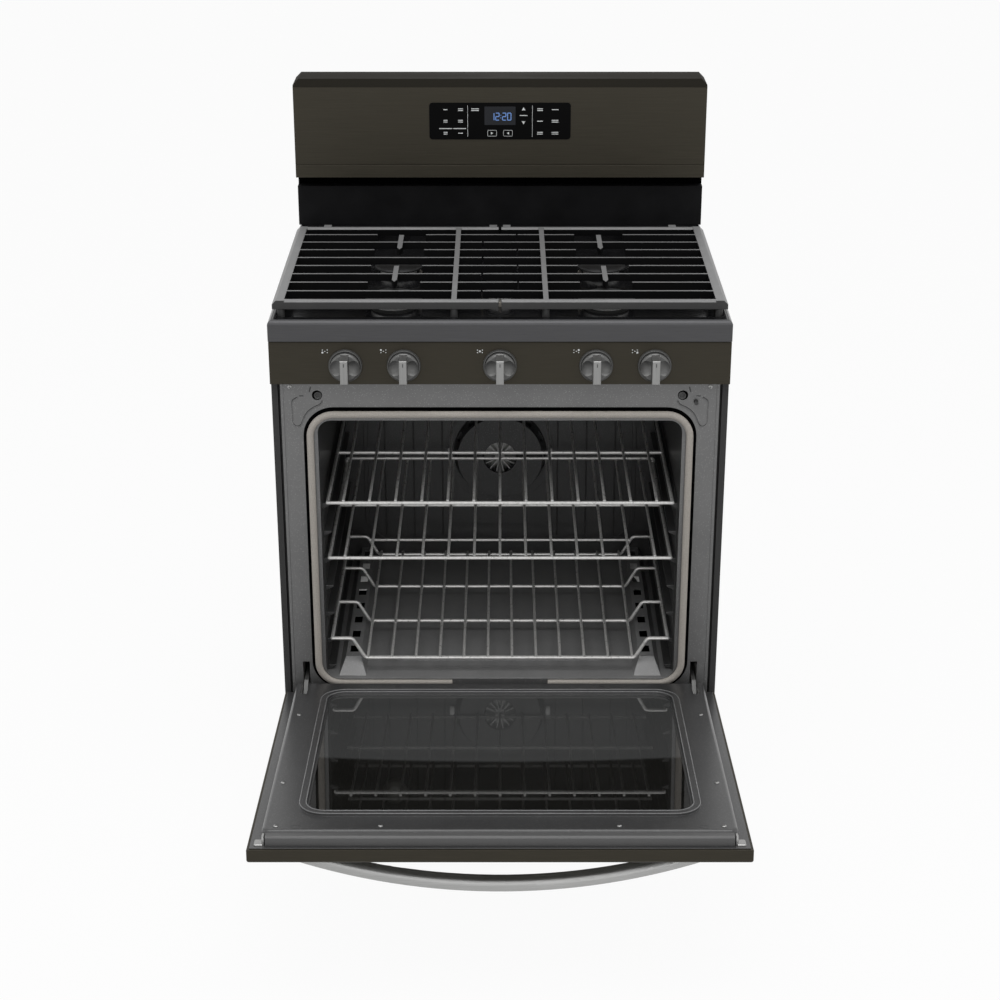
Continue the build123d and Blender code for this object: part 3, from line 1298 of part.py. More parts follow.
def drawer_box():
    """The tray behind the face, with runners along its sides."""
    t = DRAWER_SHEET
    front = DRAWER_FRONT_DEPTH - DRAWER_FACE
    rear = front + DRAWER_DEPTH
    low, high = DRAWER_BOTTOM + 2 * SHEET, DRAWER_TOP - DRAWER_WALL_DROP
    tray = slab(span(-DRAWER_HALF, DRAWER_HALF, front, rear), low, high)
    tray -= slab(span(t - DRAWER_HALF, DRAWER_HALF - t, front + t, rear - t), low + t, high)
    tray += plate(span(-DOOR_HALF, DOOR_HALF, DRAWER_BOTTOM, DRAWER_TOP), front, front + t)
    z = DRAWER_RUNNER_Z
    start = FRAME_PAN + 4 * SHEET
    strip = span(DRAWER_HALF - t, DRAWER_HALF + DRAWER_RUNNER, start, rear)
    for runner in both(slab(strip, z, z + t)):
        tray += runner
    return tray


def drawer_rails():
    """Channels on the cabinet's sides that carry the drawer's runners."""
    z = DRAWER_RUNNER_Z - RAIL_GAP
    low, high = z - SHEET, z + RAIL_HEIGHT
    line = [
        (DRAWER_HALF + RAIL_CLEARANCE, low), (INNER_HALF, low), (INNER_HALF, high),
        (INNER_HALF - SIDE_STEP, high),
    ]
    start = FRAME_PAN + 2 * SHEET
    return both(plate(folded(line), start, start + DRAWER_DEPTH))


# Assembly

def as_list(pieces):
    return list(pieces) if isinstance(pieces, (list, tuple)) else [pieces]


def assembly():
    """Every piece by name, where it stands with the door open."""
    panel = side_panel()
    pieces = {
        "side_panel_left": mirror(panel, about=Plane.YZ),
        "side_panel_right": panel,
        "rear_cover": rear_cover(),
        "base_frame": base_frame(),
        "levelling_feet": levelling_feet(),
        "oven_front_frame": oven_front_frame(),
        "oven_liner": oven_liner(),
        "oven_back_wall": oven_back_wall(),
        "oven_floor": oven_floor(),
        "burner_tray": burner_tray(),
        "rack_guides": rack_guides(),
        "oven_gasket": oven_gasket(),
        "bake_burner": bake_burner(),
        "broil_burner": broil_burner(),
        "fan_cover": fan_cover(),
        "fan_motor": fan_motor(),
        "convection_fan": convection_fan(),
        "oven_lamp": oven_lamp(),
        "upper_rack": flat_rack(UPPER_LEVEL),
        "middle_rack": flat_rack(MIDDLE_LEVEL),
        "lower_rack": offset_rack(LOWER_LEVEL),
        "control_panel": control_panel(),
        "knob_bezels": knob_bezels(),
        "gas_manifold": gas_manifold(),
        "gas_valves": gas_valves(),
        "pressure_regulator": pressure_regulator(),
        "cooktop": cooktop(),
        "burner_bases": burner_bases(),
        "burner_heads": burner_heads(),
        "burner_caps": burner_caps(),
        "igniters": igniters(),
        "grate_hinge_brackets": grate_hinge_brackets(),
        "backsplash": backsplash(),
        "backguard_console": backguard_console(),
        "control_glass": control_glass(),
        "hinge_arms": hinge_arms(),
        "hinge_receivers": hinge_receivers(),
        "door_switch": door_switch(),
        "drawer_rails": drawer_rails(),
        "drawer_front": drawer_front(),
        "drawer_box": drawer_box(),
    }
    for name, side in GRATE_SIDES:
        pieces[f"grate_{name}"] = grate(side)
    one_knob, one_rotor = knob(), valve_rotor()
    for i, x in enumerate(KNOB_X):
        pieces[f"knob_{i + 1}"] = Pos(x, 0, KNOB_Z) * one_knob
        pieces[f"valve_rotor_{i + 1}"] = Pos(x, 0, KNOB_Z) * one_rotor
    door = {
        "door_outer_panel": door_outer_panel(),
        "door_outer_glass": door_outer_glass(),
        "door_inner_panel": door_inner_panel(),
        "door_inner_glass": door_inner_glass(),
        "door_top_trim": door_top_trim(),
        "door_handle": door_handle(),
        "door_hinge_channels": door_hinge_channels(),
    }
    for name, closed in door.items():
        pieces[name] = swung_open(closed)
    return pieces


def centring(pieces):
    """The move that puts the middle of the base at the origin."""
    boxes = [piece.bounding_box() for group in pieces.values() for piece in as_list(group)]
    front = min(box.min.Y for box in boxes)
    rear = max(box.max.Y for box in boxes)
    return Location((0, -(front + rear) / 2, 0))


def main():
    os.makedirs("parts", exist_ok=True)
    pieces = assembly()
    place = centring(pieces)
    for name, group in pieces.items():
        solids = [solid for piece in as_list(group) for solid in piece.moved(place).solids()]
        shape = solids[0] if len(solids) == 1 else Compound(solids)
        export_step(shape, os.path.join("parts", f"{name}.step"))


if __name__ == "__main__":
    main()
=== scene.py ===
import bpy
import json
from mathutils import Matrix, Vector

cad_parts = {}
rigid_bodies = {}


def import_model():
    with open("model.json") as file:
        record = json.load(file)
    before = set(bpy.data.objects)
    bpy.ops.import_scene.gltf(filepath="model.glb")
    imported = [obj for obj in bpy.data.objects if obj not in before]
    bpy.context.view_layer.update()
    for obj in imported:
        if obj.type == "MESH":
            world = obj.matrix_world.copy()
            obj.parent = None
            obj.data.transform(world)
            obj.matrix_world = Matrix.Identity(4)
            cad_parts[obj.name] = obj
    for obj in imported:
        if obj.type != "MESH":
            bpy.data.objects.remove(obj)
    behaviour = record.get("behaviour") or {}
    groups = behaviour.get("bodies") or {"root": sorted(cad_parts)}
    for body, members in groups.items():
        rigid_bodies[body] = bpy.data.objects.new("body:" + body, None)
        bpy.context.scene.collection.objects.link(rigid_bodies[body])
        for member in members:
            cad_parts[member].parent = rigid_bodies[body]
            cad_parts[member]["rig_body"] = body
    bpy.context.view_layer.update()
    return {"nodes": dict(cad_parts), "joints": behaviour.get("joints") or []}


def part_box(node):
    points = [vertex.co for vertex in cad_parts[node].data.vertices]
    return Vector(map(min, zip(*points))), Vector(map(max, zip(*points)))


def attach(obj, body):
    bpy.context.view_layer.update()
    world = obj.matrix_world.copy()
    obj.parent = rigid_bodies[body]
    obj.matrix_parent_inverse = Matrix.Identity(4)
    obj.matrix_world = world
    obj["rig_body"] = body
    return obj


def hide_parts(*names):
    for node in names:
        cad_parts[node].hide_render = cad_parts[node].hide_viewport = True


bl_info = {
    "name": "Gas Range Finish",
    "version": (1, 0, 0),
    "blender": (4, 5, 0),
    "location": "View3D > Sidebar > Range",
    "description": "Finishes, legends and fittings for a freestanding gas range",
    "category": "Object",
}

import json
import math

import bmesh
import bpy
from bpy.props import FloatProperty, FloatVectorProperty, IntProperty, PointerProperty
from mathutils import Matrix, Vector

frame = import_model()
JOINTS = {joint["name"]: joint for joint in frame["joints"]}
DOOR_HINGE = Vector(JOINTS["door_hinge"]["pos_m"])
DOOR_ANGLE = math.radians(JOINTS["door_hinge"]["range_deg"][1])
BURNERS = range(1, 6)
KNOBS = [f"knob_{number}" for number in BURNERS]
ROTORS = [f"valve_rotor_{number}" for number in BURNERS]
MM = 0.001
# Points nearer than this are joined, and so are faces that meet at less than this angle
WELD = 0.00002
FLAT_ANGLE = math.radians(0.5)
# Edges that turn by more than this are rounded
SHARP_ANGLE = math.radians(28)


# Sizes and colours that a user would change

def colour(name, value, description):
    """A colour property of one finish."""
    return FloatVectorProperty(
        name=name, description=description, subtype="COLOR", size=3, min=0, max=1, default=value)


def length(name, millimetres, description):
    """A length property, given in millimetres and kept in metres."""
    return FloatProperty(
        name=name, description=description, unit="LENGTH", min=0, default=millimetres * MM)


class RangeColours(bpy.types.PropertyGroup):
    """Base colours of the finishes."""
    dark_steel: colour("Dark steel", (0.042, 0.0375, 0.028), "Brushed skins of the door and console")
    top_steel: colour("Cooktop edge", (0.064, 0.064, 0.067), "Satin front edge of the cooktop")
    gloss_black: colour("Gloss black", (0.006, 0.006, 0.0065), "Enamel of the deck and splash panel")
    grey_enamel: colour("Grey enamel", (0.105, 0.105, 0.105), "Speckled front frame")
    liner_enamel: colour("Liner enamel", (0.038, 0.038, 0.0385), "Speckled door liner")
    oven_enamel: colour("Oven enamel", (0.036, 0.036, 0.036), "Speckled walls inside the oven")
    floor_enamel: colour("Oven floor", (0.19, 0.19, 0.19), "Speckled floor of the oven")
    iron: colour("Cast iron", (0.004, 0.004, 0.0042), "Satin black sides of the grates")
    # The lighter tone of the grate tops is painted highlight: light falling from above, shown as colour
    lit_iron_top: colour("Rubbed iron", (0.20, 0.20, 0.201), "Tops of the grates, rubbed by pans")
    satin: colour("Satin steel", (0.34, 0.34, 0.335), "Handle and small steel pieces")
    knob_steel: colour("Knob steel", (0.11, 0.11, 0.108), "Knob discs and their rings")
    chrome: colour("Chrome wire", (0.62, 0.615, 0.60), "Plated rack wires")
    aluminium: colour("Cast aluminium", (0.58, 0.58, 0.57), "Burner heads and bases")
    braid: colour("Gasket braid", (0.40, 0.371, 0.336), "Woven door seal")
    cabinet: colour("Cabinet paint", (0.040, 0.040, 0.040), "Side panels and drawer tray")
    trim: colour("Door trim", (0.095, 0.095, 0.095), "Painted strip along the top of the door")
    zinc: colour("Zinc plate", (0.50, 0.50, 0.49), "Rear cover, base and hidden brackets")
    brass: colour("Brass", (0.58, 0.45, 0.22), "Gas valves and stems")
    legend: colour("Legend white", (0.72, 0.74, 0.74), "Printed marks")
    digits: colour("Clock digits", (0.10, 0.19, 0.42), "Lit digits of the clock")
    cap: colour("Burner caps", (0.020, 0.020, 0.0205), "Enamel of the burner caps")
    ceramic: colour("Igniter ceramic", (0.30, 0.28, 0.25), "Ceramic of the spark igniters")
    plastic: colour("Black plastic", (0.03, 0.03, 0.03), "Feet, door switch and dark recesses")
    glass: colour("Door glass", (0.008, 0.0078, 0.007), "Inner door glass towards the handle")
    # The paler tone of the glass towards the hinge is a painted reflection of bright surroundings
    glass_reflection: colour("Coated glass", (0.058, 0.059, 0.0585), "Inner door glass towards the hinge")
    outer_glass: colour("Outer glass", (0.004, 0.004, 0.0042), "Window in the outside of the door")
    touch: colour("Touch glass", (0.0015, 0.0015, 0.0016), "Glass over the touch keys")
    clock: colour("Clock window", (0.018, 0.019, 0.022), "Window behind the clock digits")
    lamp: colour("Lamp glass", (0.62, 0.62, 0.58), "Frosted cover of the oven lamp")


class RangeSizes(bpy.types.PropertyGroup):
    """Sizes of the fittings and marks."""
    sheet_edge: length("Sheet edge", 0.5, "Radius on the edges of sheet pieces")
    iron_edge: length("Iron edge", 0.5, "Radius on the edges of the castings")
    screw_radius: length("Screw radius", 3.6, "Radius of the pan-head screws")
    screw_height: length("Screw height", 1.6, "Height of the pan-head screws")
    mark_lift: length("Mark lift", 0.15, "How far printed marks stand off their surface")
    digit_height: length("Digit height", 13.0, "Height of the clock digits")
    icon_size: length("Burner icon", 10.0, "Width of the mark beside each knob")
    tick_length: length("Knob tick", 6.0, "Length of the engraved line on each knob")
    # The seal groove is drawn as a flat near-black ring: painted shade
    groove: length("Seal groove", 5.5, "Width of the dark groove round the oven seal")


class RangeStage(bpy.types.PropertyGroup):
    """Camera, floor and light."""
    camera_back: length("Camera distance", 3205.1, "How far the camera stands in front")
    camera_height: length("Camera height", 1944.3, "Height of the camera above the floor")
    camera_pitch: FloatProperty(
        name="Camera pitch", description="How far the camera looks down", subtype="ANGLE",
        default=math.radians(22.952))
    camera_view: FloatProperty(
        name="Field of view", description="Width of the camera's view", subtype="ANGLE",
        default=math.radians(27.444))
    key_power: FloatProperty(
        name="Key light", description="Power of the overhead softbox", unit="POWER", default=44.0)
    side_power: FloatProperty(
        name="Side light", description="Power of each side softbox", unit="POWER", default=7.0)
    fill_power: FloatProperty(
        name="Front light", description="Power of the low front softbox", unit="POWER", default=14.0)
    ambient: FloatProperty(
        name="Ambient", description="Strength of the surrounding light", min=0, default=0.32)


def colours():
    """The colours that the user has set."""
    return bpy.context.scene.range_colours


def sizes():
    """The sizes that the user has set."""
    return bpy.context.scene.range_sizes


# Shader nodes

class Finish:
    """A node material under construction."""

    def __init__(self, name, **values):
        self.material = bpy.data.materials.new(name)
        self.material.use_nodes = True
        self.tree = self.material.node_tree
        self.shader = self.tree.nodes["Principled BSDF"]
        for socket, value in values.items():
            key = socket.replace("_", " ").title().replace("Ior", "IOR")
            self.shader.inputs[key].default_value = value

    def add(self, kind, **values):
        """A new node with some of its settings and inputs."""
        node = self.tree.nodes.new("ShaderNode" + kind)
        for key, value in values.items():
            if hasattr(node, key):
                setattr(node, key, value)
            else:
                node.inputs[key.replace("_", " ").title()].default_value = value
        return node

    def link(self, start, end):
        self.tree.links.new(start, end)

    def place(self, stretch=(1, 1, 1)):
        """The piece's own coordinates in metres, stretched along each axis."""
        coordinates = self.add("TexCoord")
        mapping = self.add("Mapping")
        mapping.inputs["Scale"].default_value = stretch
        self.link(coordinates.outputs["Object"], mapping.inputs["Vector"])
        return mapping.outputs["Vector"]

    def grain(self, scale, detail=3.0, stretch=(1, 1, 1)):
        """Noise from 0 to 1 over the piece."""
        noise = self.add("TexNoise", scale=scale, detail=detail, roughness=0.6)
        self.link(self.place(stretch), noise.inputs["Vector"])
        return noise.outputs["Fac"]

    def cells(self, scale):
        """Distance to the nearest of many scattered points."""
        points = self.add("TexVoronoi", scale=scale)
        self.link(self.place(), points.inputs["Vector"])
        return points.outputs["Distance"]

    def spread(self, value, low, high, start=0.3, end=0.7):
        """A value taken from one range to another."""
        ranged = self.add("MapRange")
        ranged.inputs["From Min"].default_value = start
        ranged.inputs["From Max"].default_value = end
        ranged.inputs["To Min"].default_value = low
        ranged.inputs["To Max"].default_value = high
        self.link(value, ranged.inputs["Value"])
        return ranged.outputs["Result"]

    def tones(self, value, *stops):
        """A colour that runs through stops of (place, colour)."""
        ramp = self.add("ValToRGB")
        elements = ramp.color_ramp.elements
        while len(elements) < len(stops):
            elements.new(0.5)
        for element, (place, tone) in zip(elements, stops):
            element.position = place
            element.color = (*tone, 1)
        self.link(value, ramp.inputs["Fac"])
        return ramp.outputs["Color"]

    def overlay(self, factor, under, over):
        """One colour laid over another where the factor is high."""
        mix = self.add("Mix", data_type="RGBA")
        self.link(factor, mix.inputs["Factor"])
        self.link(under, mix.inputs["A"])
        mix.inputs["B"].default_value = (*over, 1)
        return mix.outputs["Result"]

    def colour(self, output):
        self.link(output, self.shader.inputs["Base Color"])

    def gloss(self, output):
        self.link(output, self.shader.inputs["Roughness"])

    def relief(self, height, depth, strength):
        """Bump of a given depth in metres."""
        bump = self.add("Bump", strength=strength, distance=depth)
        self.link(height, bump.inputs["Height"])
        self.link(bump.outputs["Normal"], self.shader.inputs["Normal"])
        return self


def shade(tone, factor):
    """A colour made darker or lighter."""
    return tuple(min(channel * factor, 1.0) for channel in tone)


# Finishes

def brushed(name, tone, rough, along, metal=1.0, shine=0.5):
    """Brushed metal with fine lines along one axis and a slow drift of tone."""
    fine = [260.0, 260.0, 260.0]
    fine[along] = 3.0
    finish = Finish(name, metallic=metal, anisotropic=0.35, specular_ior_level=shine)
    lines = finish.grain(6.0, 2.0, fine)
    drift = finish.grain(3.0, 2.0)
    base = finish.tones(lines, (0.30, shade(tone, 0.86)), (0.70, shade(tone, 1.14)))
    worn = finish.spread(drift, 0.0, 0.25)
    finish.colour(finish.overlay(worn, base, shade(tone, 1.25)))
    finish.gloss(finish.spread(lines, rough - 0.05, rough + 0.07))
    return finish.relief(lines, 0.00002, 0.25).material


def speckled(name, tone, rough, fleck, bright=2.4, shine=0.5, coat=0.25):
    """Porcelain enamel with pale flecks and a slightly rippled gloss."""
    finish = Finish(name, coat_weight=coat, coat_roughness=0.22, specular_ior_level=shine)
    flecks = finish.spread(finish.cells(fleck), 1.0, 0.0, 0.10, 0.24)
    small = finish.spread(finish.cells(fleck * 1.9), 0.6, 0.0, 0.08, 0.20)
    cloud = finish.tones(finish.grain(9.0), (0.3, shade(tone, 0.88)), (0.7, shade(tone, 1.12)))
    base = finish.overlay(flecks, cloud, shade(tone, bright))
    finish.colour(finish.overlay(small, base, shade(tone, bright * 0.7)))
    ripple = finish.grain(420.0, 2.0)
    finish.gloss(finish.spread(ripple, rough - 0.06, rough + 0.08))
    return finish.relief(ripple, 0.00005, 0.35).material


def glossy_enamel(name, tone, rough, coat, shine):
    """Smooth enamel with faint orange peel and dust."""
    finish = Finish(name, coat_weight=coat, coat_roughness=0.06, specular_ior_level=shine)
    peel = finish.grain(260.0, 2.0)
    haze = finish.grain(14.0, 4.0)
    finish.colour(finish.tones(haze, (0.35, tone), (0.75, shade(tone, 1.7))))
    finish.gloss(finish.spread(haze, rough, rough + 0.12))
    return finish.relief(peel, 0.00003, 0.2).material


def cast(name, tone, metal, rough, pitch, shine=0.5):
    """A casting with a fine sand texture and lighter worn spots."""
    finish = Finish(name, metallic=metal, specular_ior_level=shine)
    sand = finish.grain(pitch, 5.0)
    wear = finish.grain(18.0, 4.0)
    base = finish.tones(sand, (0.30, shade(tone, 0.8)), (0.70, shade(tone, 1.25)))
    finish.colour(finish.overlay(finish.spread(wear, 0.0, 0.35, 0.5, 0.8), base, shade(tone, 1.6)))
    finish.gloss(finish.spread(sand, rough - 0.08, rough + 0.10))
    return finish.relief(sand, 0.00012, 0.5).material


def plated(name, tone, rough, metal=1.0):
    """Bright plating with faint drawing marks."""
    finish = Finish(name, metallic=metal)
    marks = finish.grain(160.0, 3.0)
    finish.colour(finish.tones(marks, (0.3, shade(tone, 0.85)), (0.7, shade(tone, 1.1))))
    finish.gloss(finish.spread(marks, rough, rough + 0.1))
    return finish.relief(marks, 0.00003, 0.15).material


def galvanised(name, tone, rough):
    """Zinc plate with its crystal spangle."""
    finish = Finish(name, metallic=1.0)
    spangle = finish.cells(210.0)
    finish.colour(finish.tones(spangle, (0.1, shade(tone, 1.05)), (0.8, shade(tone, 0.92))))
    finish.gloss(finish.spread(spangle, rough - 0.02, rough + 0.08, 0.1, 0.8))
    return finish.relief(finish.grain(240.0), 0.00004, 0.2).material


def braided(name, tone):
    """Glass-fibre braid: crossing strands with dark gaps."""
    finish = Finish(name, roughness=0.62)
    strands = finish.grain(900.0, 2.0)
    weave = finish.cells(650.0)
    base = finish.tones(weave, (0.15, shade(tone, 1.10)), (0.70, shade(tone, 0.82)))
    finish.colour(finish.overlay(finish.spread(strands, 0.0, 0.4), base, shade(tone, 1.2)))
    return finish.relief(weave, 0.00025, 0.4).material


def dark_glass(name, tone, rough, shine):
    """Nearly black tempered glass with faint wipe marks."""
    finish = Finish(name, specular_ior_level=shine)
    haze = finish.grain(7.0, 5.0, (1, 2, 1))
    finish.colour(finish.tones(haze, (0.3, tone), (0.8, shade(tone, 1.6))))
    finish.gloss(finish.spread(haze, rough, rough + 0.05))
    return finish.material


def door_glass(name, near, far, bow=0.19, edge=(-0.346, -0.338)):
    """Tinted door glass with a paler field towards the hinge, under a bowed edge: the paler field is a
    painted reflection.
    """
    finish = Finish(name, specular_ior_level=1.0)
    parts = finish.add("SeparateXYZ")
    finish.link(finish.place(), parts.inputs["Vector"])
    square = finish.add("Math", operation="MULTIPLY")
    finish.link(parts.outputs["X"], square.inputs[0])
    finish.link(parts.outputs["X"], square.inputs[1])
    bowed = finish.add("Math", operation="MULTIPLY_ADD")
    bowed.inputs[1].default_value = -bow
    finish.link(square.outputs[0], bowed.inputs[0])
    finish.link(parts.outputs["Y"], bowed.inputs[2])
    # Paler field towards the hinge: painted reflection
    field = finish.spread(bowed.outputs[0], 0.0, 1.0, *edge)
    haze = finish.grain(7.0, 5.0, (1, 2, 1))
    base = finish.tones(haze, (0.3, near), (0.8, shade(near, 1.6)))
    finish.colour(finish.overlay(field, base, far))
    finish.gloss(finish.spread(haze, 0.015, 0.04))
    return finish.material


def moulded(name, tone, rough, shine=0.5):
    """Moulded plastic or ceramic with a fine texture."""
    finish = Finish(name, specular_ior_level=shine)
    skin = finish.grain(700.0, 2.0)
    finish.colour(finish.tones(skin, (0.3, shade(tone, 0.9)), (0.7, shade(tone, 1.12))))
    finish.gloss(finish.spread(skin, rough - 0.05, rough + 0.05))
    return finish.relief(skin, 0.00003, 0.3).material


def printed(name, tone, glow=0.0):
    """Printed or lit marks with slightly uneven ink."""
    finish = Finish(name, roughness=0.5, emission_strength=glow)
    ink = finish.grain(900.0, 2.0)
    finish.colour(finish.tones(ink, (0.3, shade(tone, 0.92)), (0.7, tone)))
    if glow:
        finish.shader.inputs["Emission Color"].default_value = (*tone, 1)
    return finish.material


FINISHES = {}


def finishes():
    """Every finish by name, made once."""
    if FINISHES:
        return FINISHES
    c = colours()
    FINISHES.update({
        "black_stainless": brushed("brushed_dark_steel", c.dark_steel, 0.42, 0, 0.45, 0.15),
        # Darker copy of the dark steel for the console's top and underside: painted shade
        "shaded_console_top": brushed("shaded_dark_steel", shade(c.dark_steel, 0.35), 0.60, 0, 0.0, 0.05),
        "cooktop_edge": brushed("satin_cooktop_edge", c.top_steel, 0.42, 0, 0.6),
        "black_enamel": glossy_enamel("gloss_black_enamel", c.gloss_black, 0.12, 0.2, 0.2),
        "splash_enamel": glossy_enamel("splash_enamel", c.gloss_black, 0.40, 0.0, 0.06),
        # Near-black for recesses: painted shade in the vent gap, behind its slots and round the oven
        # seal
        "recess_shade_black": moulded("recess_shade_black", shade(c.gloss_black, 0.3), 0.7, 0.0),
        "grey_enamel": speckled("speckled_grey_enamel", c.grey_enamel, 0.34, 320.0, 2.6, 0.9, 0.4),
        "liner_enamel": speckled("speckled_liner_enamel", c.liner_enamel, 0.34, 320.0, 3.2),
        # Lighter copy of the liner enamel for lines on the bead's edges: painted highlight
        "rim_highlight": speckled("rim_highlight", shade(c.liner_enamel, 4.5), 0.28, 320.0, 1.6),
        # Darker copy of the frame enamel: painted shade along the corner pads' edge and in the corner
        # holes
        "pressing_shade": speckled("shaded_pressing", shade(c.grey_enamel, 0.25), 0.5, 520.0),
        "oven_enamel": speckled("speckled_oven_enamel", c.oven_enamel, 0.36, 480.0, 3.0),
        "floor_enamel": speckled("speckled_oven_floor", c.floor_enamel, 0.40, 480.0, 2.0),
        "cast_iron": cast("satin_cast_iron", c.iron, 0.0, 0.55, 900.0, 0.03),
        # Lit copy of the cast iron for the grate tops: painted highlight
        "lit_iron_top": cast("lit_top_cast_iron", c.lit_iron_top, 0.0, 0.42, 900.0, 0.3),
        # Half-lit copy of the iron for the faces of the front rails: painted light
        "lit_iron_face": cast("cast_iron_face", shade(c.lit_iron_top, 0.24), 0.0, 0.45, 900.0, 0.2),
        "cap_enamel": cast("burner_cap_enamel", c.cap, 0.0, 0.40, 900.0, 0.25),
        "satin_steel": brushed("satin_steel", c.satin, 0.34, 0),
        "handle_steel": brushed("handle_steel", shade(c.satin, 1.15), 0.50, 0, 0.85),
        "knob_steel": brushed("knob_steel", c.knob_steel, 0.42, 2, 0.6),
        "grip_steel": brushed("grip_steel", shade(c.satin, 0.78), 0.38, 2, 0.8),
        "chrome_wire": plated("plated_wire", c.chrome, 0.26, 0.35),
        "burner_aluminium": cast("cast_aluminium", c.aluminium, 0.6, 0.32, 700.0),
        # Aluminium darkened almost to black for the burner bases: painted shade under the caps and
        # grates
        "burner_base": cast("shaded_burner_base", shade(c.aluminium, 0.06), 0.3, 0.5, 700.0, 0.2),
        "gasket_braid": braided("gasket_braid", c.braid),
        "cabinet_paint": moulded("cabinet_paint", c.cabinet, 0.50, 0.2),
        "trim_paint": moulded("trim_paint", c.trim, 0.42),
        "zinc_steel": galvanised("zinc_plate", c.zinc, 0.40),
        "valve_brass": plated("machined_brass", c.brass, 0.28),
        "ceramic": moulded("white_ceramic", c.ceramic, 0.40),
        "foot_plastic": moulded("black_plastic", c.plastic, 0.5),
        "dark_glass": door_glass("door_glass", c.glass, c.glass_reflection),
        "window_glass": dark_glass("window_glass", c.outer_glass, 0.04, 0.35),
        "touch_glass": dark_glass("touch_glass", c.touch, 0.30, 0.04),
        "display": dark_glass("clock_window", c.clock, 0.30, 0.1),
        "lamp_glass": moulded("frosted_lamp_glass", c.lamp, 0.2),
        "legend": printed("legend_ink", c.legend),
        "digits": printed("lit_digits", c.digits, 0.6),
    })
    return FINISHES


# Mesh helpers

def dress(obj, finish):
    """Gives a piece its finish."""
    obj.data.materials.clear()
    obj.data.materials.append(finishes()[finish])
    return obj


def mesh_piece(name, mesh, finish, body):
    """A new piece that rides a body of the range."""
    data = bpy.data.meshes.new(name)
    mesh.to_mesh(data)
    mesh.free()
    piece = bpy.data.objects.new(name, data)
    bpy.context.scene.collection.objects.link(piece)
    dress(piece, finish)
    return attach(piece, body)


def body_of(node):
    """The body that a CAD node belongs to."""
    return frame["nodes"][node]["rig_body"]


def plain(finish, *nodes):
    """Puts a finish on CAD nodes that keep their own mesh."""
    for node in nodes:
        dress(frame["nodes"][node], finish)


def softened(node, finish, width, segments=2):
    """A copy of a node with rounded edges, shown in its place."""
    mesh = bmesh.new()
    mesh.from_mesh(frame["nodes"][node].data)
    bmesh.ops.remove_doubles(mesh, verts=mesh.verts, dist=WELD)
    bmesh.ops.dissolve_limit(mesh, angle_limit=FLAT_ANGLE, verts=mesh.verts, edges=mesh.edges)
    piece = mesh_piece("soft_" + node, mesh, finish, body_of(node))
    bevel = piece.modifiers.new("edge", "BEVEL")
    bevel.width = width
    bevel.segments = segments
    bevel.limit_method = "ANGLE"
    bevel.angle_limit = SHARP_ANGLE
    bevel.use_clamp_overlap = False
    for face in piece.data.polygons:
        face.use_smooth = True
    flat = piece.modifiers.new("flat", "WEIGHTED_NORMAL")
    flat.weight = 100
    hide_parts(node)
    return piece


def tint_faces(piece, finish, chosen):
    """Gives the faces that a test picks a second finish."""
    piece.data.materials.append(finishes()[finish])
    for face in piece.data.polygons:
        if chosen(face.center, face.normal):
            face.material_index = len(piece.data.materials) - 1


def rounded(width, height, radius, steps=6):
    """Outline of a rounded rectangle about the origin."""
    points = []
    for corner, (sx, sy) in enumerate(((1, 1), (-1, 1), (-1, -1), (1, -1))):
        centre = Vector((sx * (width / 2 - radius), sy * (height / 2 - radius)))
        for step in range(steps + 1):
            angle = math.pi / 2 * (corner + step / steps)
            points.append(centre + Vector((math.cos(angle), math.sin(angle))) * radius)
    return points


def triangle(size):
    """Outline of a triangle that points up."""
    half = size * 0.6
    return [Vector((-half, -size / 2)), Vector((half, -size / 2)), Vector((0, size / 2))]


def smooth(points, steps=6):
    """A curve through points, rounded between them."""
    ends = [points[0]] + list(points) + [points[-1]]
    curve = []
    for a, b, c, d in zip(ends, ends[1:], ends[2:], ends[3:]):
        for step in range(steps):
            t = step / steps
            curve.append(0.5 * (2 * b + (c - a) * t + (2 * a - 5 * b + 4 * c - d) * t**2
                                + (3 * b - a - 3 * c + d) * t**3))
    return curve + [points[-1]]


def facing(normal, up, at):
    """A placement whose Z is a surface's normal and whose Y is its up."""
    z = Vector(normal).normalized()
    x = Vector(up).cross(z).normalized()
    turn = Matrix((x, z.cross(x), z)).transposed()
    return Matrix.Translation(at) @ turn.to_4x4()


def front(x, y, z):
    """A placement on a surface that faces the cook."""
    return facing((0, -1, 0), (0, 0, 1), (x, y, z))


def add_plate(mesh, outline, thickness, place, taper=0.0):
    """A thin plate with a chamfered rim, standing on a surface."""
    centre = sum(outline, Vector((0, 0))) / len(outline)
    rings = []
    for height, inset in ((0, 0), (thickness * 0.6, 0), (thickness, taper)):
        ring = []
        for point in outline:
            spot = point + (centre - point).normalized() * inset
            ring.append(mesh.verts.new(place @ Vector((spot.x, spot.y, height))))
        rings.append(ring)
    count = len(outline)
    for low, high in zip(rings, rings[1:]):
        for i in range(count):
            mesh.faces.new((low[i], low[(i + 1) % count], high[(i + 1) % count], high[i]))
    mesh.faces.new(rings[-1])
    mesh.faces.new(list(reversed(rings[0])))


def add_frame(mesh, outer, inner, thickness, place):
    """A thin flat ring between two outlines of the same count."""
    count = len(outer)
    rows = []
    for outline, height in ((outer, 0), (outer, thickness), (inner, thickness), (inner, 0)):
        rows.append([mesh.verts.new(place @ Vector((p.x, p.y, height))) for p in outline])
    for low, high in zip(rows, rows[1:] + rows[:1]):
        for i in range(count):
            mesh.faces.new((low[i], low[(i + 1) % count], high[(i + 1) % count], high[i]))


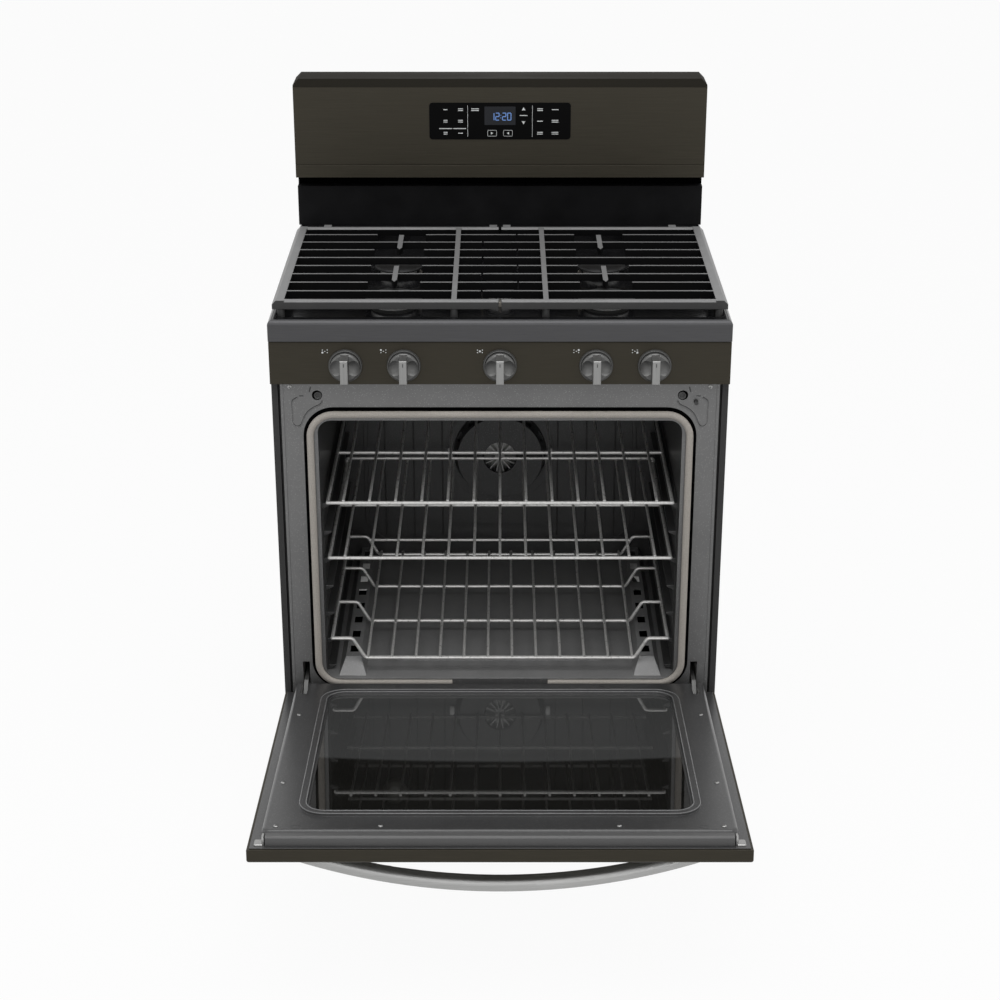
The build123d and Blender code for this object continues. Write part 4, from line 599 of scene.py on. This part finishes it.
def add_turned(mesh, profile, place, steps=20):
    """A turned shape from (radius, height) points, closed at its ends."""
    rings = []
    for radius, height in profile:
        ring = []
        for step in range(steps):
            angle = 2 * math.pi * step / steps
            point = Vector((radius * math.cos(angle), radius * math.sin(angle), height))
            ring.append(mesh.verts.new(place @ point))
        rings.append(ring)
    for low, high in zip(rings, rings[1:]):
        for i in range(steps):
            face = mesh.faces.new((low[i], low[(i + 1) % steps], high[(i + 1) % steps], high[i]))
            face.smooth = True
    mesh.faces.new(rings[-1])
    mesh.faces.new(list(reversed(rings[0])))


def cross(size, arm):
    """Outline of a cross recess."""
    quarter = [Vector((size, arm)), Vector((arm, arm)), Vector((arm, size))]
    points = []
    for turn in range(4):
        spin = Matrix.Rotation(turn * math.pi / 2, 2)
        points += [spin @ p for p in quarter]
    return points


def screws(name, places, body):
    """Pan-head screws with cross recesses."""
    radius = sizes().screw_radius
    height = sizes().screw_height
    profile = ((radius, 0), (radius, height * 0.45), (radius * 0.86, height * 0.8),
               (radius * 0.6, height), (radius * 0.05, height * 1.05))
    heads = bmesh.new()
    marks = bmesh.new()
    for place in places:
        add_turned(heads, profile, place)
        recess = place @ Matrix.Translation((0, 0, height))
        add_plate(marks, cross(radius * 0.55, radius * 0.13), sizes().mark_lift, recess)
    mesh_piece(name, heads, "satin_steel", body)
    # The cross recesses are flat near-black plates: painted shade in the recesses
    mesh_piece(name + "_recess", marks, "foot_plastic", body)


def bead(name, paths, radius, finish, body, closed=False):
    """Pressed or printed lines: round wires half sunk in a surface."""
    curve = bpy.data.curves.new(name, "CURVE")
    curve.dimensions = "3D"
    curve.bevel_depth = radius
    curve.bevel_resolution = 2
    for path in paths:
        spline = curve.splines.new("POLY")
        spline.points.add(len(path) - 1)
        for knot, point in zip(spline.points, path):
            knot.co = (*point, 1)
        spline.use_cyclic_u = closed
    piece = bpy.data.objects.new(name, curve)
    bpy.context.scene.collection.objects.link(piece)
    dress(piece, finish)
    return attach(piece, body)


def door_place(x, depth, height):
    """A placement on the inner face of the open door, given where it is when shut."""
    turn = Matrix.Rotation(DOOR_ANGLE, 4, "X")
    shut = facing((0, 1, 0), (0, 0, 1), (x, depth, height))
    pivot = Matrix.Translation(DOOR_HINGE)
    return pivot @ turn @ pivot.inverted() @ shut


# The stage

class RANGE_OT_stage(bpy.types.Operator):
    """Set the camera, the floor and soft studio light"""
    bl_idname = "range.stage"
    bl_label = "Stage"
    bl_options = {"REGISTER", "UNDO"}
    key_place = (0.0, -0.9, 3.1)
    key_aim = (0, 0.1, 0.7)
    key_size = (2.6, 2.2)
    front_place = (0.0, -3.4, 1.5)
    front_aim = (0, 0, 0.55)
    front_size = (2.6, 1.8)
    side_place = (2.6, -0.7, 1.3)
    side_aim = (0, 0, 0.6)
    side_size = (1.4, 2.2)
    floor_half = 30
    floor_tone = (0.82, 0.82, 0.82, 1)
    floor_white = 0.95

    def execute(self, context):
        stage = context.scene.range_stage
        context.scene.view_settings.view_transform = "Standard"
        self.camera(stage)
        self.world(stage)
        self.floor()
        self.softbox("key", stage.key_power, self.key_place, self.key_aim, self.key_size)
        self.softbox("front", stage.fill_power, self.front_place, self.front_aim, self.front_size)
        x, y, z = self.side_place
        for side in (-1, 1):
            self.softbox("side", stage.side_power, (side * x, y, z), self.side_aim, self.side_size)
        return {"FINISHED"}

    def camera(self, stage):
        """A camera in front of the range, looking down at it."""
        data = bpy.data.cameras.new("front_camera")
        data.angle = stage.camera_view
        camera = bpy.data.objects.new("front_camera", data)
        camera.location = (0, -stage.camera_back, stage.camera_height)
        camera.rotation_euler = (math.pi / 2 - stage.camera_pitch, 0, 0)
        bpy.context.scene.collection.objects.link(camera)
        bpy.context.scene.camera = camera

    def seen(self, tree):
        """Whether a ray comes from the eye, or from a reflection or glass."""
        path = tree.nodes.new("ShaderNodeLightPath")
        seen = path.outputs["Is Camera Ray"]
        for kind in ("Is Glossy Ray", "Is Transmission Ray"):
            either = tree.nodes.new("ShaderNodeMath")
            either.operation = "MAXIMUM"
            tree.links.new(seen, either.inputs[0])
            tree.links.new(path.outputs[kind], either.inputs[1])
            seen = either.outputs[0]
        return seen

    def world(self, stage):
        """White to the eye and in reflections, softer as a light."""
        world = bpy.data.worlds.new("studio")
        bpy.context.scene.world = world
        world.use_nodes = True
        tree = world.node_tree
        background = tree.nodes["Background"]
        background.inputs["Color"].default_value = (1, 1, 1, 1)
        strength = tree.nodes.new("ShaderNodeMapRange")
        strength.inputs["To Min"].default_value = stage.ambient
        tree.links.new(self.seen(tree), strength.inputs["Value"])
        tree.links.new(strength.outputs["Result"], background.inputs["Strength"])

    def floor(self):
        """A pale floor that stays white to the eye and keeps a faint shadow."""
        mesh = bmesh.new()
        bmesh.ops.create_grid(mesh, x_segments=1, y_segments=1, size=self.floor_half)
        data = bpy.data.meshes.new("floor")
        mesh.to_mesh(data)
        mesh.free()
        floor = bpy.data.objects.new("floor", data)
        bpy.context.scene.collection.objects.link(floor)
        paint = Finish("floor_paint", roughness=0.9, base_color=self.floor_tone)
        glow = paint.add("Emission")
        blend = paint.add("MixShader")
        share = paint.add("Math", operation="MULTIPLY")
        share.inputs[1].default_value = self.floor_white
        paint.link(self.seen(paint.tree), share.inputs[0])
        paint.link(share.outputs[0], blend.inputs["Fac"])
        paint.link(paint.shader.outputs[0], blend.inputs[1])
        paint.link(glow.outputs[0], blend.inputs[2])
        paint.link(blend.outputs[0], paint.tree.nodes["Material Output"].inputs["Surface"])
        data.materials.append(paint.material)

    def softbox(self, name, power, at, towards, size):
        """A rectangular light that looks from one place towards another."""
        data = bpy.data.lights.new(name + "_light", "AREA")
        data.shape = "RECTANGLE"
        data.size, data.size_y = size
        data.energy = power
        lamp = bpy.data.objects.new(name + "_light", data)
        lamp.location = at
        aim = Vector(towards) - Vector(at)
        lamp.rotation_euler = aim.to_track_quat("-Z", "Y").to_euler()
        bpy.context.scene.collection.objects.link(lamp)


# Sheet-metal skins

class RANGE_OT_skins(bpy.types.Operator):
    """Brush the dark steel skins and paint the cabinet sides"""
    bl_idname = "range.skins"
    bl_label = "Skins"
    bl_options = {"REGISTER", "UNDO"}
    top_face_tilt = 0.2
    under_face_tilt = -0.6

    def execute(self, context):
        edge = sizes().sheet_edge
        console = softened("backguard_console", "black_stainless", edge, 3)
        # The console's top and underside faces get a darker copy of its steel: painted shade
        tint_faces(console, "shaded_console_top",
                   lambda at, normal: normal.z > self.top_face_tilt or normal.z < self.under_face_tilt)
        for node in ("control_panel", "door_outer_panel", "drawer_front"):
            softened(node, "black_stainless", edge, 3)
        for node in ("side_panel_left", "side_panel_right"):
            softened(node, "cabinet_paint", edge)
        softened("door_top_trim", "trim_paint", edge)
        plain("handle_steel", "door_handle")
        return {"FINISHED"}


# Cooktop, burners and grates

class RANGE_OT_cooktop(bpy.types.Operator):
    """Finish the cooktop, the splash panel and the burners"""
    bl_idname = "range.cooktop"
    bl_label = "Cooktop and burners"
    bl_options = {"REGISTER", "UNDO"}
    lip_depth: length("Lip depth", 21.0, "Depth of the satin front edge")
    vent_height: length("Vent height", 21.5, "Height of the dark vent under the console")
    lip_tilt = -0.5
    shadow_sheet_share = 0.96
    shadow_sheet_depth = 0.024
    shadow_sheet_thickness = 0.001

    def execute(self, context):
        edge = sizes().sheet_edge
        top = softened("cooktop", "black_enamel", edge, 3)
        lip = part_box("cooktop")[0].y + self.lip_depth
        tint_faces(top, "cooktop_edge", lambda at, normal: at.y < lip and normal.z > self.lip_tilt)
        splash = softened("backsplash", "splash_enamel", edge)
        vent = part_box("backguard_console")[0].z - self.vent_height
        # Faces above the vent line are painted near-black: painted shade in the gap under the console
        tint_faces(splash, "recess_shade_black", lambda at, normal: at.z > vent)
        self.shadow_sheet(vent)
        softened("burner_caps", "cap_enamel", edge)
        softened("burner_heads", "burner_aluminium", edge / 2)
        # The bases take the darkened aluminium: painted shade under the caps and grates
        plain("burner_base", "burner_bases")
        plain("ceramic", "igniters")
        return {"FINISHED"}

    def shadow_sheet(self, vent):
        """A dark sheet behind the vent's slots, under the console: painted shade over the back cover
        seen through the slots.
        """
        low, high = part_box("backsplash")
        width = (high.x - low.x) * self.shadow_sheet_share
        mesh = bmesh.new()
        place = front(0, low.y + self.shadow_sheet_depth, (vent + high.z) / 2)
        add_plate(mesh, rounded(width, high.z - vent, self.shadow_sheet_thickness), self.shadow_sheet_thickness, place)
        mesh_piece("vent_shadow_sheet", mesh, "recess_shade_black", "root")


class RANGE_OT_grates(bpy.types.Operator):
    """Finish the two interlocking cast grates and their hinge brackets"""
    bl_idname = "range.grates"
    bl_label = "Grates"
    bl_options = {"REGISTER", "UNDO"}
    rail_depth: length("Rail depth", 8.0, "Depth of the front rails")
    top_tilt = 0.3

    def execute(self, context):
        edge = sizes().iron_edge
        softened("grate_hinge_brackets", "cast_iron", edge)
        for node in ("grate_left", "grate_right"):
            grate = softened(node, "cast_iron", edge)
            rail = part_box(node)[0].y + self.rail_depth
            # Upward faces get the lit copy of the iron (painted highlight); the black sides keep the
            # iron's own colour
            tint_faces(grate, "lit_iron_top", lambda at, normal: normal.z > self.top_tilt)
            # The front rails' faces get a half-lit copy of the iron: painted light on faces that catch
            # the lamps
            tint_faces(grate, "lit_iron_face", lambda at, normal: at.y < rail and normal.z < self.top_tilt)
        return {"FINISHED"}


# Knobs and their marks

class RANGE_OT_knobs(bpy.types.Operator):
    """Finish the knobs and rings, and print their marks"""
    bl_idname = "range.knobs"
    bl_label = "Knobs"
    bl_options = {"REGISTER", "UNDO"}
    icon_left: length("Icon left", 33.0, "How far left of its knob an icon stands")
    grip_half: length("Grip half width", 6.6, "Half the width of a knob's grip")
    skirt_share: FloatProperty(
        name="Skirt share", description="Share of a knob's depth that is its disc", default=0.333)
    line_width = 0.0014
    line_corner = 0.0006
    line_drop = 1.9
    tick_size = (0.0075, 0.0012, 0.0005)
    tick_drop = 0.0035
    icon_spots = ((-0.40, -0.22), (-0.40, 0.22), (0, 0), (0.40, 0.22), (0.40, -0.22))
    lit_dot = 0.17
    plain_dot = 0.09
    dot_round = 0.99

    def execute(self, context):
        edge = sizes().sheet_edge / 2
        softened("knob_bezels", "knob_steel", edge)
        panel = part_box("control_panel")[0].y
        for index, node in enumerate(KNOBS):
            knob = softened(node, "knob_steel", edge)
            low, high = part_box(node)
            x = (low.x + high.x) / 2
            rim = high.y - (high.y - low.y) * self.skirt_share
            tint_faces(knob, "grip_steel",
                       lambda at, normal: abs(at.x - x) < self.grip_half and at.y < rim)
            self.engraving(node, x, low.y, high.z)
            self.tick(node, x, rim, high.z)
            self.icon(f"burner_mark_{index + 1}", (x - self.icon_left, panel, high.z), index)
        return {"FINISHED"}

    def engraving(self, node, x, y, top):
        """The engraved line on a knob's grip."""
        size = sizes()
        mesh = bmesh.new()
        outline = rounded(self.line_width, size.tick_length, self.line_corner)
        place = front(x, y, top - size.tick_length * self.line_drop)
        add_plate(mesh, outline, size.mark_lift, place)
        mesh_piece(f"engraved_{node}", mesh, "foot_plastic", node)

    def tick(self, node, x, y, top):
        """The bright tick at the rim of a knob."""
        mesh = bmesh.new()
        place = front(x, y, top - self.tick_drop)
        add_plate(mesh, rounded(*self.tick_size), sizes().mark_lift, place)
        mesh_piece(f"tick_{node}", mesh, "legend", node)

    def icon(self, name, centre, lit):
        """Five dots for the five burners, with a larger one for the burner turned on."""
        size = sizes().icon_size
        place = front(*centre)
        mesh = bmesh.new()
        for number, (right, up) in enumerate(self.icon_spots):
            spot = place @ Matrix.Translation((right * size, up * size, 0))
            radius = size * (self.lit_dot if number == lit else self.plain_dot)
            dot = rounded(radius * 2, radius * 2, radius * self.dot_round, 4)
            add_plate(mesh, dot, sizes().mark_lift, spot)
        mesh_piece(name, mesh, "legend", "root")


# The clock and touch controls

# Bars of a seven-segment digit, named a to g from the top round to the middle
SEGMENTS = {
    "0": "abcdef", "1": "bc", "2": "abged", "3": "abgcd", "4": "fgbc",
    "5": "afgcd", "6": "afgedc", "7": "abc", "8": "abcdefg", "9": "abcdfg",
}


class RANGE_OT_clock(bpy.types.Operator):
    """Build the touch glass with its clock, keys and legends"""
    bl_idname = "range.clock"
    bl_label = "Clock and touch keys"
    bl_options = {"REGISTER", "UNDO"}
    time: IntProperty(
        name="Time", description="Hours and minutes shown", default=1220, min=100, max=1259)
    # Spots on the glass and widths of dashes are in millimetres, other sizes in metres
    window_size = (0.057, 0.034, 0.001)
    window_spot = (0, 10)
    digits_spot = (1.5, 8.5)
    digit_width = 0.48
    digit_pitch = 1.5
    digit_stroke = 0.12
    bar_corner = 0.4
    colon_corner = 0.45
    colon_rise = 0.2
    key_spot = (14.6, -22.3)
    key_outer = (0.017, 0.0115, 0.002)
    key_inner = (0.0158, 0.0103, 0.0015)
    key_arrow = 0.0042
    divider_size = (0.0006, 0.058, 0.00029)
    divider_right = 59.5
    arrow_size = 0.0055
    arrow_right = 43.3
    arrow_spots = ((23, 0), (-3, math.pi))
    name_columns = (-100.3, -72.6, 73.6, 101.3)
    name_rows = (21.3, 0, -22.3)
    name_width = 7.5
    name_step = 1.6
    line_shift = 1.6
    wide_name = 14
    wide_spots = ((-45.9, 22.9), (-45.9, 19.7), (43.3, 10.5))
    heading = 24
    heading_spots = ((-100, -13.7), (-74, -13.7))
    dash_height = 0.0014
    dash_corner = 0.0006

    def execute(self, context):
        softened("control_glass", "touch_glass", sizes().sheet_edge / 3)
        low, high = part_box("control_glass")
        self.centre = Vector((0, low.y, (low.z + high.z) / 2))
        self.lift = sizes().mark_lift
        window = bmesh.new()
        add_plate(window, rounded(*self.window_size), self.lift / 2, self.spot(*self.window_spot))
        mesh_piece("clock_window", window, "display", "root")
        self.digits()
        self.outlined_keys()
        self.legends()
        return {"FINISHED"}

    def spot(self, right, up):
        """A placement on the glass, in millimetres from its centre."""
        return front(*(self.centre + Vector((right * MM, 0, up * MM))))

    def digits(self):
        """Seven-segment digits with a colon."""
        tall = sizes().digit_height
        wide = tall * self.digit_width
        stroke = tall * self.digit_stroke
        bars = {
            "a": (0, tall / 2, wide, stroke),
            "b": (wide / 2, tall / 4, stroke, tall / 2),
            "c": (wide / 2, -tall / 4, stroke, tall / 2),
            "d": (0, -tall / 2, wide, stroke),
            "e": (-wide / 2, -tall / 4, stroke, tall / 2),
            "f": (-wide / 2, tall / 4, stroke, tall / 2),
            "g": (0, 0, wide, stroke),
        }
        middle = self.spot(*self.digits_spot)
        text = f"{self.time:04d}"
        half = len(text) / 2
        mesh = bmesh.new()
        for index, digit in enumerate(text):
            side = 1 if index >= half else -1
            x = (index + 0.5 - half) * wide * self.digit_pitch + side * stroke
            for segment in SEGMENTS[digit]:
                right, up, width, height = bars[segment]
                place = middle @ Matrix.Translation((x + right, up, 0))
                add_plate(mesh, rounded(width, height, stroke * self.bar_corner, 2), self.lift, place)
        for side in (-1, 1):
            place = middle @ Matrix.Translation((0, side * tall * self.colon_rise, 0))
            add_plate(mesh, rounded(stroke, stroke, stroke * self.colon_corner, 3), self.lift, place)
        mesh_piece("clock_digits", mesh, "digits", "root")

    def outlined_keys(self):
        """Two outlined keys with their symbols, two arrows and two dividers."""
        mesh = bmesh.new()
        right, up = self.key_spot
        for side in (-1, 1):
            key = self.spot(side * right, up)
            add_frame(mesh, rounded(*self.key_outer, 4), rounded(*self.key_inner, 4), self.lift, key)
            spin = Matrix.Rotation(side * math.pi / 2, 4, "Z")
            add_plate(mesh, triangle(self.key_arrow), self.lift, key @ spin)
            divider = self.spot(side * self.divider_right, 0)
            add_plate(mesh, rounded(*self.divider_size, 2), self.lift, divider)
        for up, turn in self.arrow_spots:
            spin = Matrix.Rotation(turn, 4, "Z")
            add_plate(mesh, triangle(self.arrow_size), self.lift, self.spot(self.arrow_right, up) @ spin)
        mesh_piece("touch_keys", mesh, "legend", "root")

    def legends(self):
        """Short dashes in the places of the key names."""
        mesh = bmesh.new()
        spots = [(right, up) for up in self.name_rows for right in self.name_columns]
        for number, (right, up) in enumerate(spots):
            shifts = (self.line_shift, -self.line_shift) if number % 3 else (0,)
            for shift in shifts:
                self.dash(mesh, self.name_width + self.name_step * (number % 4), right, up + shift)
        for right, up in self.wide_spots:
            self.dash(mesh, self.wide_name, right, up)
        for right, up in self.heading_spots:
            self.dash(mesh, self.heading, right, up)
        mesh_piece("touch_legends", mesh, "legend", "root")

    def dash(self, mesh, wide, right, up):
        """One printed dash, with its width in millimetres."""
        outline = rounded(wide * MM, self.dash_height, self.dash_corner, 3)
        add_plate(mesh, outline, self.lift, self.spot(right, up))


# The oven

# Radius and height along a bush, from its foot over its lip into its hole
BUSH_PROFILE = ((0.0072, 0), (0.0072, 0.002), (0.0060, 0.003), (0.0040, 0.003), (0.0034, 0.0005))
# Edge of the pressed pad in a top corner of the frame, in millimetres from the middle and the floor
PAD_LINE = ((337, 775), (346, 768), (346, 750), (346, 733), (344, 726.5), (339.5, 723.5), (334.5, 725),
            (331, 730.5), (326, 742), (319, 751), (310, 757.5), (300, 762.5), (295.5, 769))


class RANGE_OT_oven(bpy.types.Operator):
    """Finish the oven walls, the front frame and the braided seal"""
    bl_idname = "range.oven"
    bl_label = "Oven"
    bl_options = {"REGISTER", "UNDO"}
    groove_corner = 0.046
    seal_corner = 0.044
    seal_tuck = 0.004
    slot_size = (0.0075, 0.0020, 0.0009)
    slot_spot = (0.330, 0.777)
    slash_size = (0.0022, 0.0100, 0.0010)
    slash_spot = (0.3155, 0.7885)
    slash_tilt = math.radians(15)
    bush_spot = (0.304, 0.778)
    bush_depth = 0.004
    bush_shift = Vector((0.0012, 0.0015))
    screw_spot = (0.349, 0.793)
    groove_wire = 0.0007
    ridge_wire = 0.0008
    ridge_shift = Vector((0.0004, 0.0017))
    hole_size = (0.007, 0.007, 0.0034)
    hole_right = 0.193
    hole_drop = 0.088
    clip_size = (0.009, 0.020, 0.002)
    clip_sheet = 0.0012
    clip_taper = 0.0006
    clip_right = 0.097
    clip_depth = 0.0275
    rib_pitch = 0.056
    rib_rows = (-4, -3, -2, 2, 3, 4)
    rib_ends = (0.300, 0.680)
    rib_wire = 0.0012

    def execute(self, context):
        edge = sizes().sheet_edge
        softened("oven_front_frame", "grey_enamel", edge)
        softened("oven_floor", "floor_enamel", edge)
        for node in ("oven_back_wall", "rack_guides"):
            softened(node, "oven_enamel", edge)
        softened("fan_cover", "liner_enamel", edge)
        plain("oven_enamel", "oven_liner")
        plain("gasket_braid", "oven_gasket")
        plain("lamp_glass", "oven_lamp")
        plain("satin_steel", "convection_fan", "broil_burner", "bake_burner")
        plain("foot_plastic", "door_switch")
        self.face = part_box("control_panel")[1].y
        self.seal_shade_ring()
        self.frame_fittings()
        self.wall_fittings()
        return {"FINISHED"}

    def seal_shade_ring(self):
        """A flat dark ring round the seal: painted shade of the groove that the seal's clips sit in."""
        low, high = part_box("oven_gasket")
        wide, tall = high.x - low.x, high.z - low.z
        grow = 2 * sizes().groove
        tuck = self.seal_tuck
        outer = rounded(wide + grow, tall + grow, self.groove_corner + grow / 2, 12)
        inner = rounded(wide - tuck, tall - tuck, self.seal_corner, 12)
        mesh = bmesh.new()
        add_frame(mesh, outer, inner, sizes().mark_lift, front(0, self.face, (low.z + high.z) / 2))
        mesh_piece("seal_shade_ring", mesh, "recess_shade_black", "root")

    def on_frame(self, side, spot, depth=0.0):
        """A placement on the front frame, on one side of the oven."""
        x, z = spot
        return front(side * x, self.face + depth, z)

    def frame_fittings(self):
        """Slots, bushes, screws and the pressed pads at the top corners of the frame."""
        lift = sizes().mark_lift
        slots = bmesh.new()
        bushes = bmesh.new()
        places = []
        grooves = []
        ridges = []
        for side in (-1, 1):
            add_plate(slots, rounded(*self.slot_size, 3), lift, self.on_frame(side, self.slot_spot))
            tilt = Matrix.Rotation(side * self.slash_tilt, 4, "Z")
            slash = self.on_frame(side, self.slash_spot) @ tilt
            add_plate(slots, rounded(*self.slash_size, 3), lift, slash)
            nudge = Matrix.Translation((-side * self.bush_shift.x, -self.bush_shift.y, 0))
            bush = self.on_frame(side, self.bush_spot, self.bush_depth) @ nudge
            add_turned(bushes, BUSH_PROFILE, bush, 24)
            places.append(self.on_frame(side, self.screw_spot))
            line = smooth([Vector((side * x * MM, self.face, z * MM)) for x, z in PAD_LINE])
            grooves.append(line)
            aside = Vector((-side * self.ridge_shift.x, 0, -self.ridge_shift.y))
            ridges.append([point + aside for point in line])
        # The slots are flat near-black plates: painted shade in the openings
        mesh_piece("frame_slots", slots, "foot_plastic", "root")
        # The bushes and the pads' edge lines are dark: painted shade in the holes and along the edge
        # step
        mesh_piece("frame_bushes", bushes, "pressing_shade", "root")
        screws("frame_screws", places, "root")
        bead("pad_grooves", grooves, self.groove_wire, "pressing_shade", "root")
        bead("pad_ridges", ridges, self.ridge_wire, "grey_enamel", "root")

    def wall_fittings(self):
        """Two dark holes, pressed ribs and the clips of the fan cover."""
        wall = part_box("oven_back_wall")[0].y
        low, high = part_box("fan_cover")
        middle = (low.z + high.z) / 2
        holes = bmesh.new()
        clips = bmesh.new()
        for side in (-1, 1):
            hole = front(side * self.hole_right, wall, middle - self.hole_drop)
            add_plate(holes, rounded(*self.hole_size, 5), sizes().mark_lift, hole)
            clip = front(side * self.clip_right, low.y + self.clip_depth, middle)
            add_plate(clips, rounded(*self.clip_size, 3), self.clip_sheet, clip, self.clip_taper)
        # The holes are flat near-black plates: painted shade in the openings
        mesh_piece("wall_holes", holes, "foot_plastic", "root")
        mesh_piece("cover_clips", clips, "satin_steel", "root")
        ribs = []
        for row in self.rib_rows:
            ribs.append([Vector((row * self.rib_pitch, wall, z)) for z in self.rib_ends])
        bead("wall_ribs", ribs, self.rib_wire, "oven_enamel", "root")


class RANGE_OT_racks(bpy.types.Operator):
    """Plate the three wire racks and finish the hinge arms"""
    bl_idname = "range.racks"
    bl_label = "Racks"
    bl_options = {"REGISTER", "UNDO"}

    def execute(self, context):
        plain("chrome_wire", "upper_rack", "middle_rack", "lower_rack")
        plain("knob_steel", "hinge_arms")
        return {"FINISHED"}


# The door

class RANGE_OT_door(bpy.types.Operator):
    """Finish the door liner and glass, with screws and pressings"""
    bl_idname = "range.door"
    bl_label = "Door"
    bl_options = {"REGISTER", "UNDO"}
    # Spots are given as distance from the middle and height above the floor with the door shut
    liner_gap = 0.010
    screw_spots = ((0.339, 0.349), (0.340, 0.610), (0.336, 0.758), (0.179, 0.757))
    slot_size = (0.0100, 0.0055, 0.0026)
    slot_spot = (0.178, 0.226)
    ring_outer = (0.0150, 0.0100, 0.0049)
    ring_inner = (0.0140, 0.0086, 0.0042)
    ring_spot = (0.306, 0.760)
    bracket_sink = 0.0185
    bracket_taper = 0.001
    foot_size = (0.014, 0.018, 0.002)
    foot_sheet = 0.002
    foot_spot = (0.360, 0.777)
    post_size = (0.004, 0.012, 0.001)
    post_height = 0.014
    post_spot = (0.3535, 0.777)
    window = (Vector((-0.292, 0.265)), Vector((0.292, 0.709)))
    window_radius = 0.026
    bead_rise = 0.004
    bead_edges = (0.005, 0.015)
    rim_wire = 0.0010

    def execute(self, context):
        softened("door_inner_panel", "liner_enamel", sizes().sheet_edge)
        plain("dark_glass", "door_inner_glass")
        plain("window_glass", "door_outer_glass")
        plain("zinc_steel", "door_hinge_channels")
        self.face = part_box("control_panel")[1].y - self.liner_gap
        self.rim()
        self.fittings()
        return {"FINISHED"}

    def on_liner(self, side, spot, sink=0.0):
        """A placement on the liner, on one side of the door."""
        x, z = spot
        return door_place(side * x, self.face - sink, z)

    def rim(self):
        """Painted highlight lines along both edges of the bead round the glass."""
        low, high = self.window
        middle = door_place(0, self.face + self.bead_rise, (low.y + high.y) / 2)
        lines = []
        for grow in self.bead_edges:
            size = high - low + Vector((2 * grow, 2 * grow))
            outline = rounded(size.x, size.y, self.window_radius + grow, 10)
            lines.append([middle @ point.to_3d() for point in outline])
        bead("liner_rim_highlight", lines, self.rim_wire, "rim_highlight", "door", True)

    def fittings(self):
        """Screws and pressings of the liner, and the brackets of the top trim."""
        lift = sizes().mark_lift
        places = []
        marks = bmesh.new()
        brackets = bmesh.new()
        for side in (-1, 1):
            places += [self.on_liner(side, spot) for spot in self.screw_spots]
            add_plate(marks, rounded(*self.slot_size, 4), lift, self.on_liner(side, self.slot_spot))
            outer, inner = rounded(*self.ring_outer, 5), rounded(*self.ring_inner, 5)
            add_frame(marks, outer, inner, lift, self.on_liner(side, self.ring_spot))
            foot = self.on_liner(side, self.foot_spot, self.bracket_sink)
            add_plate(brackets, rounded(*self.foot_size, 3), self.foot_sheet, foot, self.bracket_taper)
            post = self.on_liner(side, self.post_spot, self.bracket_sink)
            add_plate(brackets, rounded(*self.post_size, 3), self.post_height, post, self.bracket_taper)
        screws("liner_screws", places, "door")
        # The slot and the ring are flat dark plates: painted shade in a slot and along a pressed ring
        mesh_piece("liner_marks", marks, "foot_plastic", "door")
        mesh_piece("trim_brackets", brackets, "satin_steel", "door")


# Pieces behind the skins

class RANGE_OT_works(bpy.types.Operator):
    """Finish the gas works, the base, the drawer and the back"""
    bl_idname = "range.works"
    bl_label = "Works and back"
    bl_options = {"REGISTER", "UNDO"}

    def execute(self, context):
        plain("zinc_steel", "base_frame", "burner_tray", "drawer_rails", "fan_motor",
              "hinge_receivers", "rear_cover")
        plain("cabinet_paint", "drawer_box")
        plain("foot_plastic", "levelling_feet")
        plain("satin_steel", "gas_manifold")
        plain("burner_aluminium", "pressure_regulator")
        plain("valve_brass", "gas_valves", *ROTORS)
        return {"FINISHED"}


class RANGE_PT_panel(bpy.types.Panel):
    """The steps that dress the range"""
    bl_idname = "RANGE_PT_panel"
    bl_label = "Gas range"
    bl_space_type = "VIEW_3D"
    bl_region_type = "UI"
    bl_category = "Range"

    def draw(self, context):
        for step in STEPS:
            self.layout.operator(step.bl_idname)
        for group in ("range_colours", "range_sizes", "range_stage"):
            box = self.layout.box()
            values = getattr(context.scene, group)
            for name in values.__annotations__:
                box.prop(values, name)


STEPS = (
    RANGE_OT_stage, RANGE_OT_skins, RANGE_OT_cooktop, RANGE_OT_grates, RANGE_OT_knobs,
    RANGE_OT_clock, RANGE_OT_oven, RANGE_OT_racks, RANGE_OT_door, RANGE_OT_works,
)
GROUPS = {"range_colours": RangeColours, "range_sizes": RangeSizes, "range_stage": RangeStage}


def register():
    for group in GROUPS.values():
        bpy.utils.register_class(group)
    for step in STEPS:
        bpy.utils.register_class(step)
    bpy.utils.register_class(RANGE_PT_panel)
    for name, group in GROUPS.items():
        setattr(bpy.types.Scene, name, PointerProperty(type=group))


def unregister():
    for name in GROUPS:
        delattr(bpy.types.Scene, name)
    bpy.utils.unregister_class(RANGE_PT_panel)
    for step in reversed(STEPS):
        bpy.utils.unregister_class(step)
    for group in GROUPS.values():
        bpy.utils.unregister_class(group)


def main():
    register()
    for step in STEPS:
        package, name = step.bl_idname.split(".")
        getattr(getattr(bpy.ops, package), name)()


if __name__ == "__main__":
    main()
